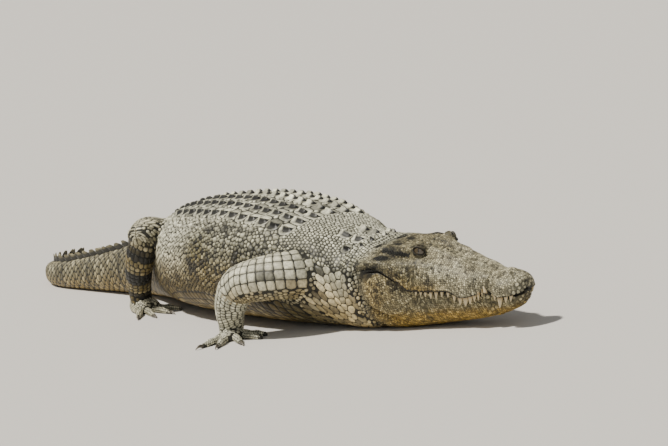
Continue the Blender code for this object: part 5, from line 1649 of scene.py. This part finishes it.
def eye_paint():
    """Iris with fine spokes, darker to its rim, a slit, and a clear wet surface."""
    made, tree, shader = new_material("eye_glass")
    across_eye = split(stored(tree, "look"))
    spokes = noise(stored(tree, "fan"), 9.0, 3.0)
    iris = mix_colour(spokes, (0.03, 0.021, 0.009, 1.0), (0.088, 0.062, 0.028, 1.0))
    iris = mix_colour(ramp(across_eye[2], 0.9, 0.6), iris, (0.03, 0.022, 0.012, 1.0))
    tall = times(across_eye[1], across_eye[1])
    slim = math_node("SUBTRACT", 0.075, times(tall, 0.3))
    slit = math_node("SUBTRACT", slim, math_node("ABSOLUTE", across_eye[0]))
    colour = mix_colour(ramp(slit, -0.01, 0.01), iris, (0.004, 0.004, 0.004, 1.0))
    tree.links.new(colour, shader.inputs["Base Color"])
    shader.inputs["Roughness"].default_value = 0.12
    shader.inputs["Coat Weight"].default_value = 1.0
    shader.inputs["Coat Roughness"].default_value = 0.03
    return made


eye_material = eye_paint()
for side, word in ((1.0, "left"), (-1.0, "right")):
    gaze = eye_axes(side)[0]
    ahead = np.cross(gaze, UP)
    ahead /= np.linalg.norm(ahead)
    lift = np.cross(ahead, gaze)
    polar = np.linspace(EYE_POLE, math.pi - EYE_POLE, EYE_RINGS)[:, None]
    turn = angles_round(EYE_SEGMENTS)[None, :]
    look = np.stack([np.sin(polar) * np.cos(turn), np.sin(polar) * np.sin(turn),
                     np.cos(polar) + 0.0 * turn], axis=-1)
    bulge = EYE_RADIUS * (1.0 + CORNEA * ease(0.75, 1.0, look[..., 2]))[..., None]
    local = (look[..., :1] * ahead + look[..., 1:2] * lift + look[..., 2:] * gaze) * bulge
    ball = tube("eyeball_" + word, stand(eye_middle(side) + local))
    centre = stand(eye_middle(side))
    axes = unit(np.array([stand(eye_middle(side) + axis * 0.01) - centre for axis in (ahead, lift, gaze)]))
    seen = (points_of(ball.data) - centre) / EYE_RADIUS @ axes.T
    flat = np.hypot(seen[:, 0], seen[:, 1]) + 1e-6
    set_numbers(ball.data, "look", seen)
    set_numbers(ball.data, "fan", np.stack([seen[:, 0] / flat, seen[:, 1] / flat, flat * 0.25], axis=1))
    smooth_over(ball)
    ball.data.materials.append(eye_material)
    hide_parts("eye_" + word)
    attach(ball, "root")


# ------------------------ the teeth
# Blunt cones of ivory standing in the edges of both jaws, a little curved, stained at the root.
# The upper ones hang outside the lower jaw; the fourth of the lower jaw stands in the notch.
TEETH = (
    # forward, length, root radius, 1 for the lower jaw
    (0.186, 0.011, 0.0044, 0), (0.202, 0.014, 0.005, 0), (0.218, 0.017, 0.0056, 0),
    (0.236, 0.02, 0.0062, 0), (0.255, 0.02, 0.0064, 0), (0.275, 0.017, 0.0058, 0),
    (0.296, 0.017, 0.006, 0), (0.316, 0.02, 0.0068, 0), (0.335, 0.026, 0.0088, 0),
    (0.354, 0.03, 0.01, 0), (0.371, 0.024, 0.0082, 0), (0.385, 0.022, 0.0068, 0),
    (0.397, 0.019, 0.006, 0), (0.408, 0.015, 0.005, 0), (0.447, 0.014, 0.005, 0),
    (0.461, 0.018, 0.0058, 0), (0.481, 0.038, 0.0088, 0), (0.5, 0.023, 0.0068, 0),
    (0.513, 0.019, 0.0058, 0), (0.424, 0.019, 0.007, 1), (0.286, 0.009, 0.004, 1),
    (0.326, 0.011, 0.0046, 1), (0.265, 0.009, 0.004, 1),
)
# how deep the root is sunk, how far the cone reaches past the tooth's length, its aim
UPPER_SET, LOWER_SET = (0.009, 0.009, (-0.1, 0.1, -1.0)), (-0.014, 0.01, (0.05, 0.16, 1.0))
TOOTH_SIDES, TOOTH_CURVE, TOOTH_SWELL, TOOTH_FLAT = 12, 0.55, 1.18, 0.92
teeth_tree, start = new_tree("set_teeth", (("Roots", "Geometry"), ("Sides", "Int"), ("Curve", "Float"),
                                           ("Ivory", "Material")), "Teeth")
cone = add_node(teeth_tree, "GeometryNodeMeshCone",
                {"Vertices": start["Sides"], "Side Segments": 5, "Radius Top": 0.2, "Radius Bottom": 1.0,
                 "Depth": 1.0})
across, aside, along = split(teeth_tree.nodes.new("GeometryNodeInputPosition").outputs[0])
bend = times(times(along, along), start["Curve"])
plump = times(math_node("SUBTRACT", 1.0, along), along)
offset = add_node(teeth_tree, "ShaderNodeCombineXYZ",
                  {0: math_node("MULTIPLY_ADD", across, plump, bend),
                   1: times(aside, plump), 2: 0.0}).outputs[0]
shaped = add_node(teeth_tree, "GeometryNodeSetPosition", {"Geometry": cone.outputs[0], "Offset": offset})
noted = hold(teeth_tree, shaped.outputs[0], "along_tooth", along)
turned = add_node(teeth_tree, "FunctionNodeAlignRotationToVector",
                  {"Vector": held(teeth_tree, "points_to")}, axis="Z")
turned = add_node(teeth_tree, "FunctionNodeAlignRotationToVector",
                  {"Rotation": turned.outputs[0], "Vector": held(teeth_tree, "back")},
                  axis="X", pivot_axis="Z")
placed = add_node(teeth_tree, "GeometryNodeInstanceOnPoints",
                  {"Points": start["Roots"], "Instance": noted, "Rotation": turned.outputs[0],
                   "Scale": held(teeth_tree, "size")})
real = add_node(teeth_tree, "GeometryNodeRealizeInstances", {"Geometry": placed.outputs[0]})
finish_tree(teeth_tree, real.outputs[0], start["Ivory"])

ivory, tree, shader = new_material("tooth_ivory")
stain = noise(add_node(tree, "ShaderNodeTexCoord").outputs["Object"], 260.0, 3.0, 0.6)
root_stain = times(ramp(stored(tree, "along_tooth", "Fac"), 0.6, 0.15), ramp(stain, 0.25, 0.6, 0.45, 1.0))
colour = mix_colour(root_stain, (0.545, 0.455, 0.28, 1.0), (0.33, 0.235, 0.108, 1.0))
colour_and_relief(tree, shader, colour, stain, 0.35, 0.0004)
shader.inputs["Roughness"].default_value = 0.34

for name, lower_jaw, slot in (("teeth_upper", 0, "head"), ("teeth_lower", 1, "jaw")):
    roots, points_to, back, size = [], [], [], []
    sunk, past, aim = LOWER_SET if lower_jaw else UPPER_SET
    for forward, length, radius, lower in TEETH:
        if lower != lower_jaw:
            continue
        out = float(skull_section(np.array([forward]), np.array([-1e-4 if lower else 0.0]))[0][0])
        up = float(read(LIP, np.array([forward]))[0])
        inside = 0.002 + radius * 1.25 + 0.005 * float(ease(0.485, 0.513, forward))
        inside += 0.004 * float(notch(forward - 0.017))
        inside = radius * 1.5 + 0.004 if lower else inside
        for side in (1.0, -1.0):
            longer, wide = dice.uniform(0.88, 1.1), radius * TOOTH_SWELL
            base = np.array([HEAD_AT + forward, side * (out - inside), up + sunk])
            at_root = stand(base)
            roots.append(at_root)
            points_to.append(stand(base + np.array(aim) * (1.0, side, 1.0) * 0.005) - at_root)
            back.append(stand(base + np.array([-0.01, -side * 0.004, 0.0])) - at_root)
            size.append((wide, wide * TOOTH_FLAT, (length + past) * longer))
    mesh = bpy.data.meshes.new(name)
    mesh.from_pydata([tuple(p) for p in roots], [], [])
    for key, values in (("points_to", points_to), ("back", back)):
        set_numbers(mesh, key, unit(np.array(values)))
    set_numbers(mesh, "size", size)
    teeth = new_object(name, mesh)
    run_tree(teeth, teeth_tree, {"Sides": TOOTH_SIDES, "Curve": TOOTH_CURVE, "Ivory": ivory})
    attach(teeth, "root")


# ------------------------ the claws
# Horn sheaths on the three inner toes of each foot, curved and worn to blunt points.
# Each is a sleeve grown over the last bone of its toe; in a model it is cast and plugged in.
CLAW_LENGTH, CLAW_ROOT, CLAW_TIP, CLAW_ARCH, CLAW_DROP = 0.034, 0.0066, 0.0011, 0.006, 0.0045
CLAW_POINTS, CLAW_FLAT, CLAW_SEAT, CLAW_OFF_FLOOR = 16, 0.86, 0.0003, 0.0003
horn, tree, shader = new_material("claw_horn")
streak = noise(add_node(tree, "ShaderNodeTexCoord").outputs["Object"], 330.0, 4.0, 0.7)
worn = ramp(stored(tree, "along_claw", "Fac"), 0.35, 1.0)
colour = mix_colour(streak, (0.034, 0.03, 0.024, 1.0), (0.12, 0.104, 0.078, 1.0))
colour = mix_colour(times(worn, 0.5), colour, (0.23, 0.205, 0.16, 1.0))
colour_and_relief(tree, shader, colour, streak, 0.5, 0.0005)
shader.inputs["Roughness"].default_value = 0.38
for name, lines in toe_lines.items():
    label, word = name.split("_")
    foot_name = ("hand_" if label == "arm" else "foot_") + word
    for number, (_, along_toe, over_toe, tip) in enumerate(lines[:3], 1):
        f = np.concatenate([[0.0], np.linspace(0.04, 0.96, 12), [0.985, 1.0]])[:, None]
        radius = CLAW_ROOT + (CLAW_TIP - CLAW_ROOT) * f ** 1.15
        radius = radius * np.sqrt(np.clip(1.0 - ((f - 0.95) / 0.055).clip(0.0, 0.97) ** 2, 0.0, 1.0))
        centre = tip + along_toe * (CLAW_SEAT + CLAW_LENGTH * f)
        height = CLAW_ROOT + CLAW_ARCH * np.sin(f * math.pi) * (1.0 - 0.3 * f) - CLAW_DROP * f
        turn = angles_round(CLAW_POINTS)[None, :]
        high = np.maximum(height + radius * np.sin(turn), CLAW_OFF_FLOOR)
        rings = rings_about(centre, over_toe, radius * CLAW_FLAT * np.cos(turn), high)
        claw = tube(f"horn_{foot_name}_{number}", rings)
        set_numbers(claw.data, "along_claw", (points_of(claw.data) - tip) @ along_toe / CLAW_LENGTH)
        smooth_over(claw)
        claw.data.materials.append(horn)
        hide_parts(f"claw_{foot_name}_{number}")
        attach(claw, "root")


# ------------------------ the stage
# A plain pale floor, soft lights and the camera at the animal's right shoulder.
CAMERA_AWAY, CAMERA_RIGHT, CAMERA_DOWN, CAMERA_LENS = 8.0, 0.2825, 0.1018, 122.9
FLOOR_REACH = 400.0
SHOULDER_HIGH = 0.41
middle = origin + UP * SHOULDER_HIGH
azimuth, lift, lean = math.radians(27.5), math.radians(7.2), math.radians(9.0)
toward = Vector((math.cos(azimuth) * math.cos(lift), -math.sin(azimuth) * math.cos(lift), math.sin(lift)))
level = Vector((math.sin(azimuth), math.cos(azimuth), 0.0))
upright = toward.cross(level)
across = level * math.cos(lean) - upright * math.sin(lean)
upright = level * math.sin(lean) + upright * math.cos(lean)
place = Vector(middle) + toward * CAMERA_AWAY + across * CAMERA_RIGHT - upright * CAMERA_DOWN
camera_data = bpy.data.cameras.new("camera")
camera_data.lens, camera_data.sensor_width = CAMERA_LENS, 36.0
camera_data.clip_start, camera_data.clip_end = 0.05, 2000.0
camera = new_object("camera", camera_data)
camera.matrix_world = Matrix.Translation(place) @ Matrix((across, upright, toward)).transposed().to_4x4()
bpy.context.scene.camera = camera

floor_mesh = bpy.data.meshes.new("floor")
floor_corners = [(x * FLOOR_REACH, y * FLOOR_REACH, 0.0) for x, y in ((-1, -1), (1, -1), (1, 1), (-1, 1))]
floor_mesh.from_pydata(floor_corners, [], [(0, 1, 2, 3)])
floor = new_object("floor", floor_mesh)
pale, _, shader = new_material("floor_paint")
shader.inputs["Base Color"].default_value = (0.62, 0.6, 0.57, 1.0)
shader.inputs["Roughness"].default_value = 0.85
floor_mesh.materials.append(pale)

world = bpy.data.worlds.new("studio")
world.use_nodes = True
light_round = world.node_tree.nodes["Background"].inputs
light_round["Color"].default_value, light_round["Strength"].default_value = (1.0, 0.985, 0.955, 1.0), 0.28
bpy.context.scene.world = world
for name, spot, power, wide, tint in (
        ("key", (-0.9, -2.6, 5.2), 5.2, 4.0, (1.0, 0.955, 0.865)),
        ("fill", (6.0, -3.0, 3.0), 0.45, 60.0, (0.93, 0.96, 1.0))):
    light = bpy.data.lights.new(name, "SUN")
    light.energy, light.angle, light.color = power, math.radians(wide), tint
    lamp = new_object(name, light)
    lamp.location = Vector(spot)
    lamp.rotation_euler = Vector(spot).to_track_quat("Z", "Y").to_euler()
